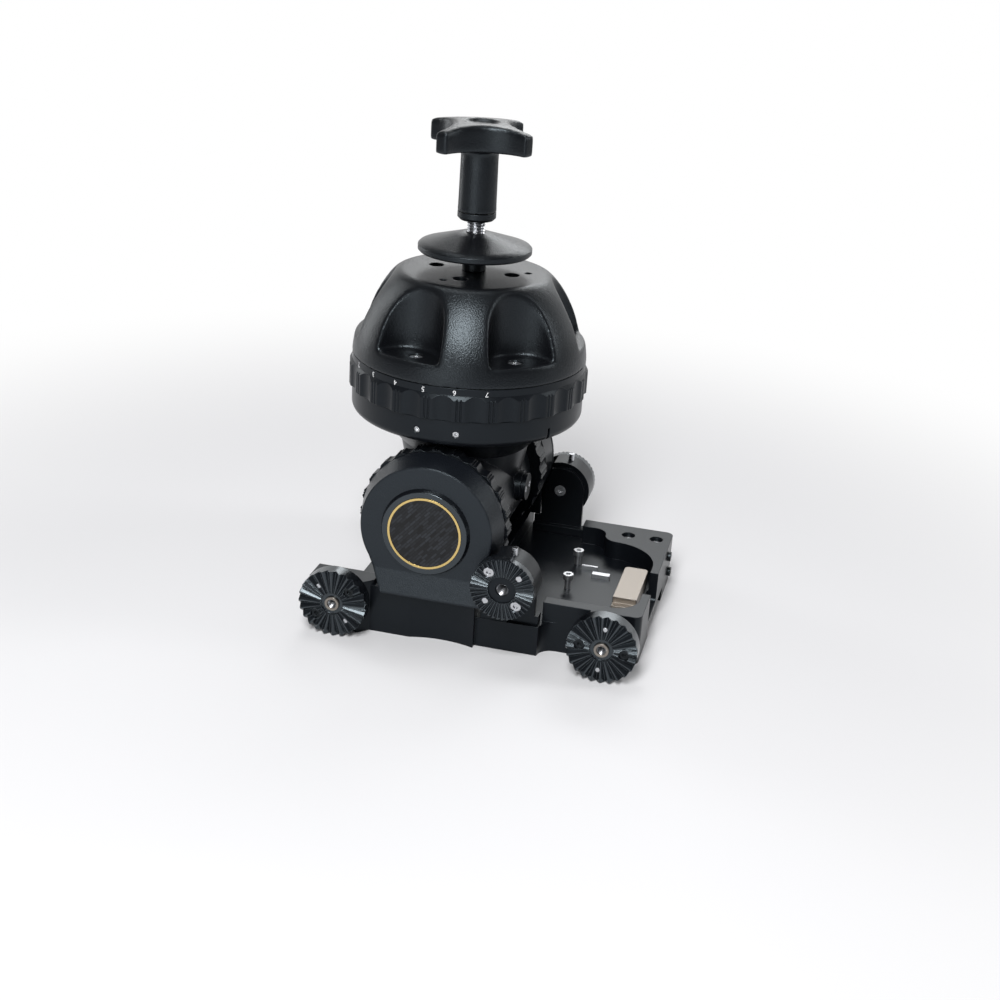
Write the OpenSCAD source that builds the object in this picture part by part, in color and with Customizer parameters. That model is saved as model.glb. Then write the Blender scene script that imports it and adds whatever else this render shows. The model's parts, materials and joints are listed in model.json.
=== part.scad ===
// Fluid video head with a 150 mm half ball, standing upside down on its camera platform.
// X runs along the lens axis, Y along the tilt axis and Z up through the pan axis.
// The origin is on the resting plane, straight below the crossing of the two axes.

/* [Main axes] */
// Height of the tilt axis above the resting plane
tilt_axis_h = 76; // [75:1:90]
// Rise from the tilt axis to the underside of the pan drag ring
pan_rise = 70; // [70:1:90]

/* [Half ball] */
// Diameter of the half ball
ball_d = 150; // [148:1:160]
// Diameter of the flat on the half ball
ball_flat_d = 95; // [88:1:104]
// Thickness of the roof over the hollow
ball_roof = 12; // [9:0.5:18]
// Distance of the hollow inside the ball's outer radius
ball_wall = 39; // [37:0.5:45]
// Turn of the half ball about the pan axis
ball_yaw = 12; // [0:1:59]
// Number of bolt pockets round the half ball
pocket_count = 6; // [4:1:6]
// Radius of the round back wall of a pocket
pocket_r = 22; // [16:0.5:23]
// Distance of a pocket's centre inside the ball's outer radius
pocket_inset = 3.5; // [0:0.5:5]
// Height of a pocket's floor above the underside of the ball
pocket_floor_h = 16.5; // [14:0.5:24]
// Distance of the pocket bolts inside the ball's outer radius
pocket_bolt_in = 15; // [14.5:0.5:16]
// Number of bolts in the flat
flat_bolt_count = 4; // [3:1:6]
// Pitch radius of the bolts in the flat
flat_bolt_pitch = 25; // [20:0.5:27]
// Depth of the bolts' heads below the flat
flat_bolt_sink = 2; // [1:0.5:3]
// Number of small jig holes in the flat
jig_hole_count = 3; // [2:1:4]
// Pitch radius of the small jig holes
jig_hole_pitch = 34; // [33:0.5:38]
// Diameter of the small jig holes
jig_hole_d = 4; // [2:0.5:5]
// Depth of the small jig holes
jig_hole_depth = 5; // [3:0.5:7]

/* [Tie down] */
// Diameter of the stud
stud_d = 11.8; // [9:0.1:13]
// Length of the stud above the flat
stud_l = 75.5; // [70:0.5:80]
// Diameter of the stud's head under the roof
stud_head_d = 24; // [18:0.5:30]
// Thickness of the stud's head
stud_head_t = 6; // [4:0.5:10]
// Diameter of the clamp washer
washer_d = 71.4; // [60:0.2:80]
// Thickness of the clamp washer at its rim
washer_rim = 4.7; // [3:0.1:7]
// Height of the washer's cone above its rim
washer_cone = 7.6; // [4:0.2:10]
// Length of the hub under the clamp washer
washer_hub_l = 11.4; // [8:0.2:16]
// Wall of the washer's hub
washer_hub_wall = 1.5; // [1:0.1:3]
// Free gap between the washer and the thrust ring
knob_gap = 8; // [8:0.5:12]
// Thickness of the thrust ring
thrust_t = 5; // [4:0.5:8]
// Diameter of the knob's sleeve and of the thrust ring
sleeve_d = 24; // [23:0.5:28]
// Length of the knob's sleeve
sleeve_l = 38; // [34:0.5:42]
// Tip radius of the knob's cross
cross_r = 37.5; // [32:0.5:42]
// Height of the knob's cross at its centre
cross_h = 17; // [15:0.5:20]
// Drop of the domed top from the centre to the tips
cross_dome = 4; // [2:0.5:6]
// Width of a tip of the cross
cross_tip_w = 9; // [6:0.5:14]
// Radius of the cross at its waist between two tips
cross_waist = 17.5; // [15:0.5:20]
// Turn of the cross about the pan axis
cross_yaw = 66; // [0:1:89]
// Diameter of the dished recess in the knob's top
dish_d = 23; // [16:0.5:26]
// Depth of the dished recess
dish_depth = 3; // [1:0.5:4]
// Outer diameter of the threaded insert in the knob
insert_d = 16; // [15:0.5:18]
// Length of the threaded insert in the knob
insert_l = 20; // [12:0.5:26]

/* [Pan unit] */
// Height of the pan drag ring
pan_ring_h = 16; // [14:0.5:20]
// How far the pan drag ring stands out past the ball
pan_ring_proud = 1.5; // [0.5:0.5:4]
// Height of the bevel on the pan drag ring
pan_ring_bevel = 2.6; // [2:0.2:4]
// Height of the numbered band that rises from the pan drag ring
band_h = 4.6; // [3:0.2:6]
// Thickness of the numbered band
band_t = 1.6; // [1.2:0.1:2]
// Number of finger scallops on a ring
scallop_count = 24; // [18:1:26]
// Depth of the finger scallops
scallop_depth = 1.6; // [0.8:0.1:2.2]
// Turn of the pan drag ring's scallops
pan_ring_yaw = -64; // [-72:1:-56]
// Height of the pan base under its ring
pan_base_h = 17; // [16:0.5:17.5]
// Edge radius under the pan base
pan_base_edge = 5; // [2:0.5:6]
// How far the pan base stands in from the ball
pan_base_in = 0.5; // [0:0.5:2]
// Thickness of the pan base's floor
pan_floor_t = 8; // [6:0.5:9]
// Width of the upper pan bearing
pan_bearing_wall = 10; // [7:0.5:10]
// Wall of the pan base's spigot
pan_spigot_wall = 6; // [4:0.5:8]
// Radius of the pan spindle
spindle_r = 12; // [9:0.5:14]
// Outer radius of the lower pan bearing
pan_lower_bearing_r = 20; // [18:0.5:24]
// Thickness of the spindle's bearing journal
journal_t = 8; // [6:0.5:9]
// Distance of the turntable's rim inside the ball's outer radius
turntable_in = 9; // [7:0.5:10]
// Thickness of the turntable
turntable_t = 5.5; // [4.5:0.5:7]
// Outer radius of the spindle's nut
spindle_nut_r = 18; // [16:0.5:20]
// Height of the spindle's nut
spindle_nut_h = 9; // [6:0.5:9]

/* [Tilt unit] */
// Radius of the tilt housing's barrel
barrel_r = 39; // [38:0.5:42]
// Radius of the seats for the rings on the barrel
ring_seat_r = 36; // [34:0.5:37]
// Radius of the bore through the barrel
barrel_bore_r = 30; // [28:0.5:31]
// Radius of the tilt shaft
shaft_r = 9; // [7:0.5:10]
// Outer radius of the tilt bearings
tilt_bearing_r = 16; // [14:0.5:20]
// Thickness of the end plates that hold the tilt bearings
end_plate_t = 8.5; // [6:0.5:10]
// Outer radius of the tilt drag ring
tilt_ring_r = 48; // [47:0.5:50]
// Width of the tilt drag ring
tilt_ring_w = 9.7; // [8:0.1:12]
// Outer radius of the counterbalance ring
balance_ring_r = 47; // [45:0.5:50]
// Width of the counterbalance ring
balance_ring_w = 16; // [12:0.5:18]
// Distance of the counterbalance ring from the pan axis
balance_ring_y = 30; // [28:0.5:32]
// Outer radius of the drum beside the counterbalance ring
drum_r = 46; // [44:0.5:48]
// Radius of the neck where it meets the pan base
neck_r = 58; // [54:0.5:62]
// Width of the tilt drag discs
tilt_drag_t = 8; // [5:0.5:10]
// Width of the counterbalance spring
spring_w = 16; // [10:0.5:20]
// Turns of the counterbalance spring
spring_turns = 4; // [3:1:5]
// Radius of the cap on the barrel's flank
flank_cap_r = 9; // [8:0.5:11]

/* [Cheeks and badge] */
// How far the cheeks stand out past the platform's sides
cheek_out = 3; // [2:0.5:5]
// Thickness of a cheek
cheek_t = 16.5; // [15:0.5:18]
// Radius of a cheek behind its bevel
cheek_r = 46.3; // [44:0.1:47]
// Width of the bevel round a cheek, seen from its face
cheek_bevel = 4.3; // [2:0.1:6]
// Height of a cheek's flared foot
cheek_foot_h = 15; // [10:0.5:20]
// How far a cheek's foot flares out
cheek_flare = 2; // [0.5:0.5:2.5]
// Radius of the badge's boss
boss_r = 28.5; // [27:0.5:32]
// Height of the badge's boss
boss_h = 3; // [2.5:0.5:5]
// Radius of the badge with its ring
badge_r = 23.5; // [22:0.5:25]
// Width of the badge's ring
badge_ring_w = 1.4; // [1:0.2:4]

/* [Platform] */
// Left end of the platform's block
block_x0 = -46; // [-48:0.5:-42]
// Right end of the platform's block
block_x1 = 33; // [31:0.5:34]
// Left end of the platform's recess
recess_x0 = 73.5; // [71:0.5:75]
// Right end of the platform
plat_x1 = 136; // [135:0.5:142]
// Half width of the platform beside the recess
plat_half = 68; // [66:0.5:69]
// Half width of the platform under the cheeks
side_half = 82; // [80:0.5:83]
// Thickness of the platform's slab
slab_t = 20; // [18:0.5:21]
// Drop from the tilt axis to the top of the block under the cheeks
block_drop = 44; // [42:0.5:48]
// Height of the walls round the recess
wall_h = 33; // [31:0.5:38]
// Thickness of the recess's end wall
end_wall = 5.5; // [4.5:0.5:8]
// Thickness of the recess's near wall
near_wall = 8.5; // [6:0.5:10]
// Thickness of the recess's far wall
far_wall = 11.5; // [10:0.5:14]
// Thickness of the far wall's thick end
far_block = 29.5; // [26:0.5:32]
// Length of the far wall's thick end
far_block_l = 39; // [37:0.5:41]
// Half width of the camera plate channel at its mouth
channel_half = 27; // [22:0.5:32]
// Undercut of the camera plate channel on each side
channel_undercut = 4; // [2:0.5:6]
// Depth of the camera plate channel
channel_depth = 9; // [7:0.5:10]

/* [Corner rosettes] */
// Height of the left corner's boss
boss_top = 35; // [32:0.5:38]
// Radius of a corner rosette
rosette_r = 22; // [20:0.5:22]
// Teeth on a corner rosette
rosette_teeth = 24; // [18:1:28]
// Thickness of a corner rosette
rosette_t = 10; // [9:0.5:12]
// How far the toothed faces stand out past the platform's sides
rosette_out = 16; // [15:0.5:20]
// Height of the corner rosettes' centres
rosette_z = 22.5; // [22.5:0.5:25]
// Distance of the left rosette from the pan axis
rosette_left = 55.5; // [54:0.5:58]
// Distance of the right rosette from the pan axis
rosette_right = 117; // [115:0.5:120]
// Turn of the left rosette
rosette_turn_left = 40; // [0:1:90]
// Turn of the right rosette
rosette_turn_right = -5; // [-45:1:45]
// Pitch radius of a rosette's screws and pins
rosette_pitch = 14; // [13:0.5:15]
// Outer radius of a rosette's threaded insert
rosette_insert_r = 4.6; // [4:0.1:5]
// Radius of the thread in a rosette's insert
rosette_bore_r = 3; // [2:0.1:3.4]

/* [Handle ears] */
// Radius of a handle rosette and of its ear
ear_r = 20; // [19:0.5:21]
// Teeth on a handle rosette
ear_teeth = 40; // [32:1:44]
// Thickness of a handle rosette
ear_rosette_t = 6; // [5.5:0.5:7]
// Distance of the ears from the pan axis along the lens axis
ear_x = 53; // [52:0.5:54]
// Height of the ears' axis
ear_z = 51.5; // [50:0.5:53]
// Distance of the near ear's inner face inside the platform's side
ear_in = 10; // [8:0.5:12]
// How much closer to the pan axis the far ear stands
far_ear_in = 3; // [0:0.5:3]
// Radius of the round top of an ear's plate
ear_plate_r = 17; // [15:0.5:19]
// Thickness of an ear's foot
ear_foot_t = 6; // [4:0.5:8]
// Radius of the hub in a handle rosette
ear_hub_r = 8.6; // [7:0.1:9]
// Radius of the thread in the hub
ear_bore_r = 4; // [3:0.1:5]
// Depth of the thread in the hub
ear_bore_depth = 18; // [12:0.5:20]
// Pitch radius of a handle rosette's screws and pins
ear_pitch = 13.5; // [13:0.5:14.5]
// Turn of the handle rosettes
ear_turn = 132; // [90:1:180]

/* [Plate latch] */
// Width of the latch along the lens axis
latch_w = 15.5; // [12:0.5:16]
// Length of the latch
latch_l = 57; // [45:0.5:60]
// Height of the latch
latch_h = 9.7; // [7:0.1:12]
// Length of the latch's lower step
latch_step = 10; // [6:0.5:14]
// Depth of the latch's lower step
latch_step_h = 4; // [2:0.5:5]

/* [Brake levers] */
// Radius of the pan brake lever's hub
pan_lever_hub_r = 7.5; // [6:0.25:8]
// Length of the pan brake lever
pan_lever_l = 38; // [28:1:42]
// Radius of the tilt brake lever's hub
tilt_lever_hub_r = 14; // [11:0.5:16]
// Length of the tilt brake lever
tilt_lever_l = 46; // [34:1:52]
// Thickness of a lever's arm
lever_arm_t = 6; // [4:0.5:7]

/* [Clearances] */
// Gap between faces that move past each other
face_gap = 0.3; // [0.2:0.05:0.4]
// Radial clearance of a running fit
run_gap = 0.05; // [0.02:0.01:0.1]
// Radial clearance of a seated piece
seat_gap = 0.02; // [0.01:0.01:0.05]

/* [Hidden] */
$fn = 64;
// Extra length of a cut past the face that it opens
over = 1;

// Colours as the photo shows them
powder_black = "#1c1c1f";
anodised_black = "#26272b";
cheek_grey = "#34373d";
bare_steel = "#c4c6c8";
nickel = "#b9b2a8";
gold = "#c9a24a";
brass = "#b08d4a";

// Screw sizes: head radius, head height, shank radius, shank length
pocket_bolt_sink = 1.5;
pocket_bolt_head = 3.5;
pocket_bolt = [4.2, pocket_bolt_head, 2.5, pocket_floor_h - pocket_bolt_sink - pocket_bolt_head - over];
flat_bolt = [4.5, 3, 2, 4];
set_screw = [2, 2, 1.6, 4];
small_screw = [3.2, 2.4, 1.6, 5];
ear_screw = [4, 2.5, 2, 3.5];
recess_bolt_stand = 7;
recess_bolt_grip = 6;
recess_bolt = [3.4, 3.5, 2, recess_bolt_stand + recess_bolt_grip];
ear_rosette_screw = [3.4, 1.6, 1.6, 2];
socket_share = 0.5;
socket_depth_share = 0.7;

// Heights along the pan axis
pan_ring_z0 = tilt_axis_h + pan_rise + face_gap;
pan_ring_z1 = pan_ring_z0 + pan_ring_h;
pan_base_z1 = tilt_axis_h + pan_rise;
pan_base_z0 = pan_base_z1 - pan_base_h;
ball_z0 = pan_ring_z1 + face_gap;
ball_r = ball_d / 2;
flat_r = ball_flat_d / 2;
flat_z = ball_z0 + sqrt(ball_r * ball_r - flat_r * flat_r);
roof_z = flat_z - ball_roof;
hollow_r = ball_r - ball_wall;
pocket_bolt_pitch = ball_r - pocket_bolt_in;
turntable_r = ball_r - turntable_in;
pocket_z = ball_z0 + pocket_floor_h;
flat_edge_in = flat_r - 1.8;
flat_edge_fall = 0.37;
flat_bolt_turn = 74;

// Pan unit, from the hollow outwards
journal_wall = 8;
journal_r = hollow_r + journal_wall;
chamber_r = journal_r + pan_bearing_wall;
spigot_r = chamber_r + pan_spigot_wall;
spigot_z1 = ball_z0 - 2 * face_gap;
journal_z = ball_z0 - journal_t;
pan_floor_z = pan_base_z0 + pan_floor_t;
pan_drag_t = (journal_z - pan_floor_z - 3 * face_gap) / 2;
pan_rotor_z = pan_floor_z + pan_drag_t + face_gap;
pan_base_r = ball_r - pan_base_in;
pan_ring_r = ball_r + pan_ring_proud;
band_r = ball_r - face_gap;
band_z1 = pan_ring_z1 + band_h;
rebate_r = band_r - band_t - face_gap;
rebate_h = band_z1 + face_gap - ball_z0;
nut_gap = 0.5;
nut_z1 = pan_base_z0 - nut_gap;
nut_z0 = nut_z1 - spindle_nut_h;
nut_room = 4;
nut_pocket_r = spindle_nut_r + nut_room;
nut_pocket_z = nut_z0 - nut_room;
pan_rotor_room = 2;
set_screw_turns = [-99, -80];
set_screw_sink = 1;
index_slot_turn = -32;
index_slot_w = 2;
index_slot_depth = 3;

// Tie down, from the flat upwards
stud_r = stud_d / 2;
washer_z = flat_z + face_gap;
washer_rim_z = washer_z + washer_hub_l;
washer_top_z = washer_rim_z + washer_rim + washer_cone;
thrust_z = washer_top_z + knob_gap;
sleeve_z = thrust_z + thrust_t + face_gap;
cross_z = sleeve_z + sleeve_l;
cross_top_z = cross_z + cross_h;
dish_wall = 3;
knob_bore_z1 = cross_top_z - dish_depth - dish_wall;
knob_bore_r = stud_r + 4 * run_gap;

// Tilt stack along Y, outwards from the pan axis; the near side is negative
cheek_face = side_half + cheek_out;
cheek_inner = cheek_face - cheek_t;
tilt_ring_y1 = cheek_inner - face_gap;
tilt_ring_y0 = tilt_ring_y1 - tilt_ring_w;
barrel_near = tilt_ring_y0 - face_gap;
barrel_end = cheek_inner - 2 * face_gap;
plate_y0 = barrel_end - end_plate_t;
balance_y1 = balance_ring_y + balance_ring_w;
drum_y0 = balance_y1 + face_gap;
neck_near = barrel_near - 5;
neck_far = balance_ring_y - 1.5;
neck_root_h = 14;
neck_swell = 4;
shaft_near = cheek_face - 0.5;
shaft_far = cheek_face - 5;
shaft_room = 3;
rotor_y = 52;
rotor_r = barrel_bore_r - shaft_room;
flank_cap_y = -4;
flank_cap_z = tilt_axis_h + 6;
flank_pad_x = barrel_r + 3;
flank_cap_t = 3;
flank_screw_pitch = 5;

// Cheeks
block_h = tilt_axis_h - block_drop;
cheek_crease = block_h + cheek_foot_h;
cheek_face_r = cheek_r - cheek_bevel;
cheek_edge = 1.7;
pillar_x0 = -27;
pillar_x1 = 40;
shoulder_drop = 10;
badge_sink = 1.2;
badge_proud = 0.3;
boss_edge = 1.5;
boss_y = -cheek_face - boss_h;
badge_floor_y = boss_y + badge_sink;

// Platform
saddle_r = tilt_ring_r + 2.5;
recess_y0 = near_wall - plat_half;
recess_y1 = plat_half - far_wall;
recess_x1 = plat_x1 - end_wall;
far_block_y = plat_half - far_block;
bay_x1 = recess_x1 - far_block_l;
bay_r = (far_block - far_wall) / 2;
recess_far_r = far_block_l - bay_r;
recess_near_r = 16;
recess_bolt_at = [[79, -17], [78, 22]];
wall_screw_x = [106.5, 126];
wall_screw_in = 15;
wall_screw_sink = 2.5;
wall_bore_r = 4.6;
// Places of the end screws along Y and Z
end_screw_at = [[44, 26], [52, 11]];
corner_r = 5;
mid_in = 4;
mid_half = side_half - mid_in;
notch_y0 = -33.5;
notch_y1 = -1;
notch_drop = 7;
notch_z = slab_t - notch_drop;
notch_r = 3;
boss_back = 70;
boss_x0 = -rosette_left - 18.5;
boss_x1 = -rosette_left + 22;
boss_chamfer = 8;
web_w = 17;
web_in = 4.5;
web_x = rosette_right - web_in;
web_z0 = 10;
scallop_w = 42;
scallop_d = 3.5;
scallop_x = block_x1 - scallop_w / 2;
fillet_r = mid_half - plat_half;

// Rosettes and ears
rosette_face = side_half + rosette_out;
rosette_back = rosette_face - rosette_t;
hub_recess = 1.4;
hub_recess_r = 7.2;
screw_sink = 1.8;
pin_r = 1.5;
pin_l = 5;
pin_sink = 1;
ear_back = rosette_face - ear_rosette_t;
ear_clear = 1.5;
ear_inner = side_half - ear_in;
ear_plate_t = 3.5;
ear_plate_y1 = ear_inner + ear_plate_t;
ear_plate_x0 = max(ear_x - ear_plate_r, block_x1 + face_gap);
ear_plate_x1 = min(ear_x + ear_plate_r, recess_x0 - face_gap);
ear_toe = 4;
ear_toe_y = mid_half - face_gap;
ear_foot_x0 = block_x1 + 3;
ear_foot_x1 = recess_x0 - 1;
ear_pin_x = 4;
ear_pin_y = 13;
ear_pin_r = 2;
ear_pin_l = 11;
ear_pin_proud = 4;
handle_pin_r = 2;

// Recess
latch_gap = 2.5;
latch_x0 = recess_x1 - latch_gap - latch_w;
latch_near = 11.5;
latch_y0 = recess_y0 + latch_near;
latch_z = slab_t + face_gap;
latch_round = 3;
// Steps at the latch's near end: length, then depth below its top
latch_steps = [[latch_step, latch_step_h], [latch_step / 2, (latch_h + latch_step_h) / 2]];
stop_h = 3;
// Bars of the stop: place along X and Y, then size along X and Y
stop_bars = [[91, 4, 12, 4], [82, 15, 11, 1.5]];

// Levers
lever_tip_r = 4;
pan_lever_z = pan_base_z0 + pan_base_h / 2;
pan_lever_stub_r = 4;
pan_lever_stub_l = 12;
pan_lever_hub_l = 9;
pan_lever_y = pan_base_r + face_gap;
tilt_lever_hub_l = 10.7;
tilt_lever_turn = 135;
tilt_arm_in = 2;
lever_root_share = 0.7;

// A cylinder or cone along Y from y0 to y1, on the axis through x and z
module rod_y(r, y0, y1, x = 0, z = tilt_axis_h, r_end = -1) {
    translate([x, y0, z])
        rotate([-90, 0, 0])
            cylinder(h = y1 - y0, r1 = r, r2 = r_end < 0 ? r : r_end);
}

// A ring along Y from y0 to y1 on the tilt axis
module ring_y(r_out, r_in, y0, y1) {
    difference() {
        rod_y(r_out, y0, y1);
        rod_y(r_in, y0 - over, y1 + over);
    }
}

// A ring along Z from z0 to z1 on the pan axis
module ring_z(r_out, r_in, z0, z1) {
    difference() {
        translate([0, 0, z0]) cylinder(h = z1 - z0, r = r_out);
        translate([0, 0, z0 - over]) cylinder(h = z1 - z0 + 2 * over, r = r_in);
    }
}

// A bar along Z from z0 to z1 at a point
module bar_z(r, z0, z1, x = 0, y = 0) {
    translate([x, y, z0]) cylinder(h = z1 - z0, r = r);
}

// Repeats the children on the far side
module both_sides() {
    children();
    mirror([0, 1, 0]) children();
}

// Repeats the children evenly round Z
module around(count, turn = 0) {
    for (i = [0 : count - 1])
        rotate([0, 0, turn + i * 360 / count])
            children();
}

// Puts the children on a near face: +Z points out of the face, +Y up
module near_face(x, y, z) {
    translate([x, -y, z]) rotate([90, 0, 0]) children();
}

// A socket screw whose head ends at z = 0
module screw(size) {
    socket_depth = size[1] * socket_depth_share;
    difference() {
        union() {
            bar_z(size[0], -size[1], 0);
            bar_z(size[2], -size[1] - size[3], -size[1] / 2);
        }
        translate([0, 0, -socket_depth])
            cylinder(h = socket_depth + over, r = size[0] * socket_share, $fn = 6);
    }
}

// The hole that such a screw fills, open for some way above its head
module screw_hole(size, open = over) {
    bar_z(size[0] + seat_gap, -size[1], open);
    bar_z(size[2] + seat_gap, -size[1] - size[3], 0);
}

// Outline of a ring: finger scallops, with a pair of fine grooves on each ridge between them
module scalloped_outline(r, count, turn) {
    step = 360 / count;
    scallop_half = r * sin(step * 0.34);
    scallop_r = (scallop_half * scallop_half + scallop_depth * scallop_depth) / (2 * scallop_depth);
    groove_r = 0.6;
    groove_turn = step * 0.06;
    difference() {
        circle(r = r);
        for (i = [0 : count - 1]) {
            rotate(turn + (i + 0.5) * step)
                translate([r - scallop_depth + scallop_r, 0])
                    circle(r = scallop_r);
            for (side = [-1, 1])
                rotate(turn + i * step + side * groove_turn)
                    translate([r, 0])
                        circle(r = groove_r);
        }
    }
}

// Radial V grooves in the face z = 0, deeper towards the rim
module rosette_grooves(r, count) {
    flank = 42;
    fill = 0.84;
    depth = r * PI / count * fill / tan(flank);
    tall = depth + over / 2;
    start = hub_recess_r - over;
    around(count)
        rotate([0, atan(depth / r), 0])
            translate([start, 0, 0])
                rotate([90, 0, 90])
                    linear_extrude(height = r)
                        polygon([[0, 0], [tall * tan(flank), tall], [-tall * tan(flank), tall]]);
}

// Outline of a lever's arm, from inside its hub to its round tip
module lever_outline(hub_r, length) {
    root = hub_r * lever_root_share;
    translate([length, 0]) circle(r = lever_tip_r);
    polygon([[0, root], [length, lever_tip_r], [length, -lever_tip_r], [0, -root]]);
}

// A rectangle with round corners
module round_rect(x0, x1, y0, y1, r) {
    translate([x0 + r, y0]) square([x1 - x0 - 2 * r, y1 - y0]);
    translate([x0, y0 + r]) square([x1 - x0, y1 - y0 - 2 * r]);
    for (x = [x0 + r, x1 - r], y = [y0 + r, y1 - r])
        translate([x, y]) circle(r = r);
}

// Half ball and tie down

// Half section of the ball: the rebate for the numbered band, the sphere, a broken edge and the flat
module ball_section() {
    rise = flat_z - ball_z0;
    reach = 2 * ball_r;
    intersection() {
        circle(r = ball_r);
        polygon([[0, 0], [rebate_r, 0], [rebate_r, rebate_h], [reach, rebate_h],
                 [reach, rise - flat_edge_fall * (reach - flat_edge_in)], [flat_edge_in, rise], [0, rise]]);
    }
}

module half_ball() {
    flat_bore_open = flat_bolt_sink + over;
    color(powder_black)
    rotate([0, 0, ball_yaw])
    difference() {
        translate([0, 0, ball_z0]) rotate_extrude() ball_section();
        bar_z(turntable_r + seat_gap, ball_z0 - over, ball_z0 + turntable_t);
        bar_z(hollow_r, ball_z0, roof_z);
        bar_z(stud_r + seat_gap, roof_z - over, flat_z + over);
        around(pocket_count) {
            bar_z(pocket_r, pocket_z, flat_z + over, ball_r - pocket_inset);
            translate([pocket_bolt_pitch, 0, pocket_z - pocket_bolt_sink])
                screw_hole(pocket_bolt, pocket_bolt_sink + over);
        }
        around(flat_bolt_count, flat_bolt_turn)
            translate([flat_bolt_pitch, 0, flat_z - flat_bolt_sink])
                screw_hole(flat_bolt, flat_bore_open);
        around(jig_hole_count)
            bar_z(jig_hole_d / 2, flat_z - jig_hole_depth, flat_z + over, jig_hole_pitch);
    }
}

module ball_pocket_bolts() {
    color(bare_steel)
    around(pocket_count, ball_yaw)
        translate([pocket_bolt_pitch, 0, pocket_z - pocket_bolt_sink])
            screw(pocket_bolt);
}

module ball_flat_bolts() {
    color(anodised_black)
    around(flat_bolt_count, ball_yaw + flat_bolt_turn)
        translate([flat_bolt_pitch, 0, flat_z - flat_bolt_sink])
            screw(flat_bolt);
}

module tie_down_stud() {
    color(bare_steel) {
        bar_z(stud_r, roof_z - over, flat_z + stud_l);
        bar_z(stud_head_d / 2, roof_z - stud_head_t, roof_z);
    }
}

module clamp_washer() {
    bore = stud_r + run_gap;
    hub = bore + washer_hub_wall;
    rim = washer_d / 2;
    edge = 1;
    crest = hub + 2;
    color(powder_black)
    rotate_extrude()
        polygon([[bore, washer_z], [hub, washer_z], [hub, washer_rim_z], [rim - edge, washer_rim_z],
                 [rim, washer_rim_z + edge], [rim, washer_rim_z + washer_rim - edge],
                 [rim - edge, washer_rim_z + washer_rim], [crest, washer_top_z], [bore, washer_top_z]]);
}

module tie_down_thrust_ring() {
    rim = sleeve_d / 2;
    edge = 1.6;
    color(powder_black)
    difference() {
        union() {
            translate([0, 0, thrust_z]) cylinder(h = edge, r1 = rim - edge, r2 = rim);
            bar_z(rim, thrust_z + edge, thrust_z + thrust_t);
        }
        bar_z(stud_r + run_gap, thrust_z - over, thrust_z + thrust_t + over);
    }
}

// A square whose sides are drawn in by arcs, which leaves four tips
module cross_outline() {
    half_tip = cross_tip_w / 2;
    arc_c = (cross_r * cross_r + half_tip * half_tip - cross_waist * cross_waist)
        / (sqrt(2) * (cross_r + half_tip) - 2 * cross_waist);
    difference() {
        rotate(cross_yaw) square(2 * cross_r, center = true);
        for (i = [0 : 3])
            rotate(cross_yaw + 45 + i * 90)
                translate([arc_c, 0])
                    circle(r = arc_c - cross_waist);
    }
}

module tie_down_knob() {
    rim = sleeve_d / 2;
    draft = 0.4;
    dome_r = (cross_r * cross_r + cross_dome * cross_dome) / (2 * cross_dome);
    color(powder_black)
    difference() {
        union() {
            translate([0, 0, sleeve_z])
                cylinder(h = sleeve_l + over, r1 = rim, r2 = rim - draft);
            intersection() {
                translate([0, 0, cross_z]) linear_extrude(height = cross_h) cross_outline();
                translate([0, 0, cross_top_z - dome_r]) sphere(r = dome_r);
            }
        }
        translate([0, 0, cross_top_z - dish_depth])
            cylinder(h = dish_depth + over, r1 = dish_d / 2 - dish_depth, r2 = dish_d / 2 + over);
        bar_z(insert_d / 2 + seat_gap, sleeve_z - over, sleeve_z + insert_l);
        bar_z(knob_bore_r, sleeve_z, knob_bore_z1);
    }
}

module tie_down_insert() {
    color(brass) ring_z(insert_d / 2, stud_r + run_gap, sleeve_z, sleeve_z + insert_l);
}

// Pan unit

module pan_drag_ring() {
    bevel_in = pan_ring_bevel * 0.65;
    color(powder_black)
    difference() {
        union() {
            intersection() {
                translate([0, 0, pan_ring_z0])
                    linear_extrude(height = pan_ring_h)
                        scalloped_outline(pan_ring_r, scallop_count, pan_ring_yaw);
                union() {
                    bar_z(pan_ring_r + over, pan_ring_z0, pan_ring_z1 - pan_ring_bevel);
                    translate([0, 0, pan_ring_z1 - pan_ring_bevel])
                        cylinder(h = pan_ring_bevel, r1 = pan_ring_r, r2 = pan_ring_r - bevel_in);
                }
            }
            bar_z(band_r, pan_ring_z1 - over, band_z1);
        }
        bar_z(spigot_r + run_gap, pan_ring_z0 - over, pan_ring_z1 + over);
        bar_z(rebate_r + face_gap, pan_ring_z1, band_z1 + over);
    }
}

module pan_base() {
    color(anodised_black)
    difference() {
        union() {
            rotate_extrude()
                difference() {
                    translate([0, pan_base_z0]) square([pan_base_r, pan_base_h]);
                    translate([pan_base_r - pan_base_edge, pan_base_z0])
                        difference() {
                            square(pan_base_edge + over);
                            translate([0, pan_base_edge]) circle(r = pan_base_edge);
                            translate([0, pan_base_edge]) square(pan_base_edge + over);
                        }
                }
            bar_z(spigot_r, pan_base_z1 - over, spigot_z1);
        }
        bar_z(chamber_r, pan_floor_z, spigot_z1 + over);
        bar_z(pan_lower_bearing_r + seat_gap, pan_base_z0 - over, pan_floor_z + over);
        set_screw_places() screw_hole(set_screw, set_screw_sink + over);
        rotate([0, 0, index_slot_turn])
            translate([pan_base_r - index_slot_depth, -index_slot_w / 2, pan_base_z0 - over])
                cube([index_slot_depth + over, index_slot_w, pan_base_h / 2 + over]);
        rod_y(pan_lever_stub_r + run_gap, pan_lever_y - pan_lever_stub_l - 2 * over,
              pan_base_r + over, 0, pan_lever_z);
    }
}

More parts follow.
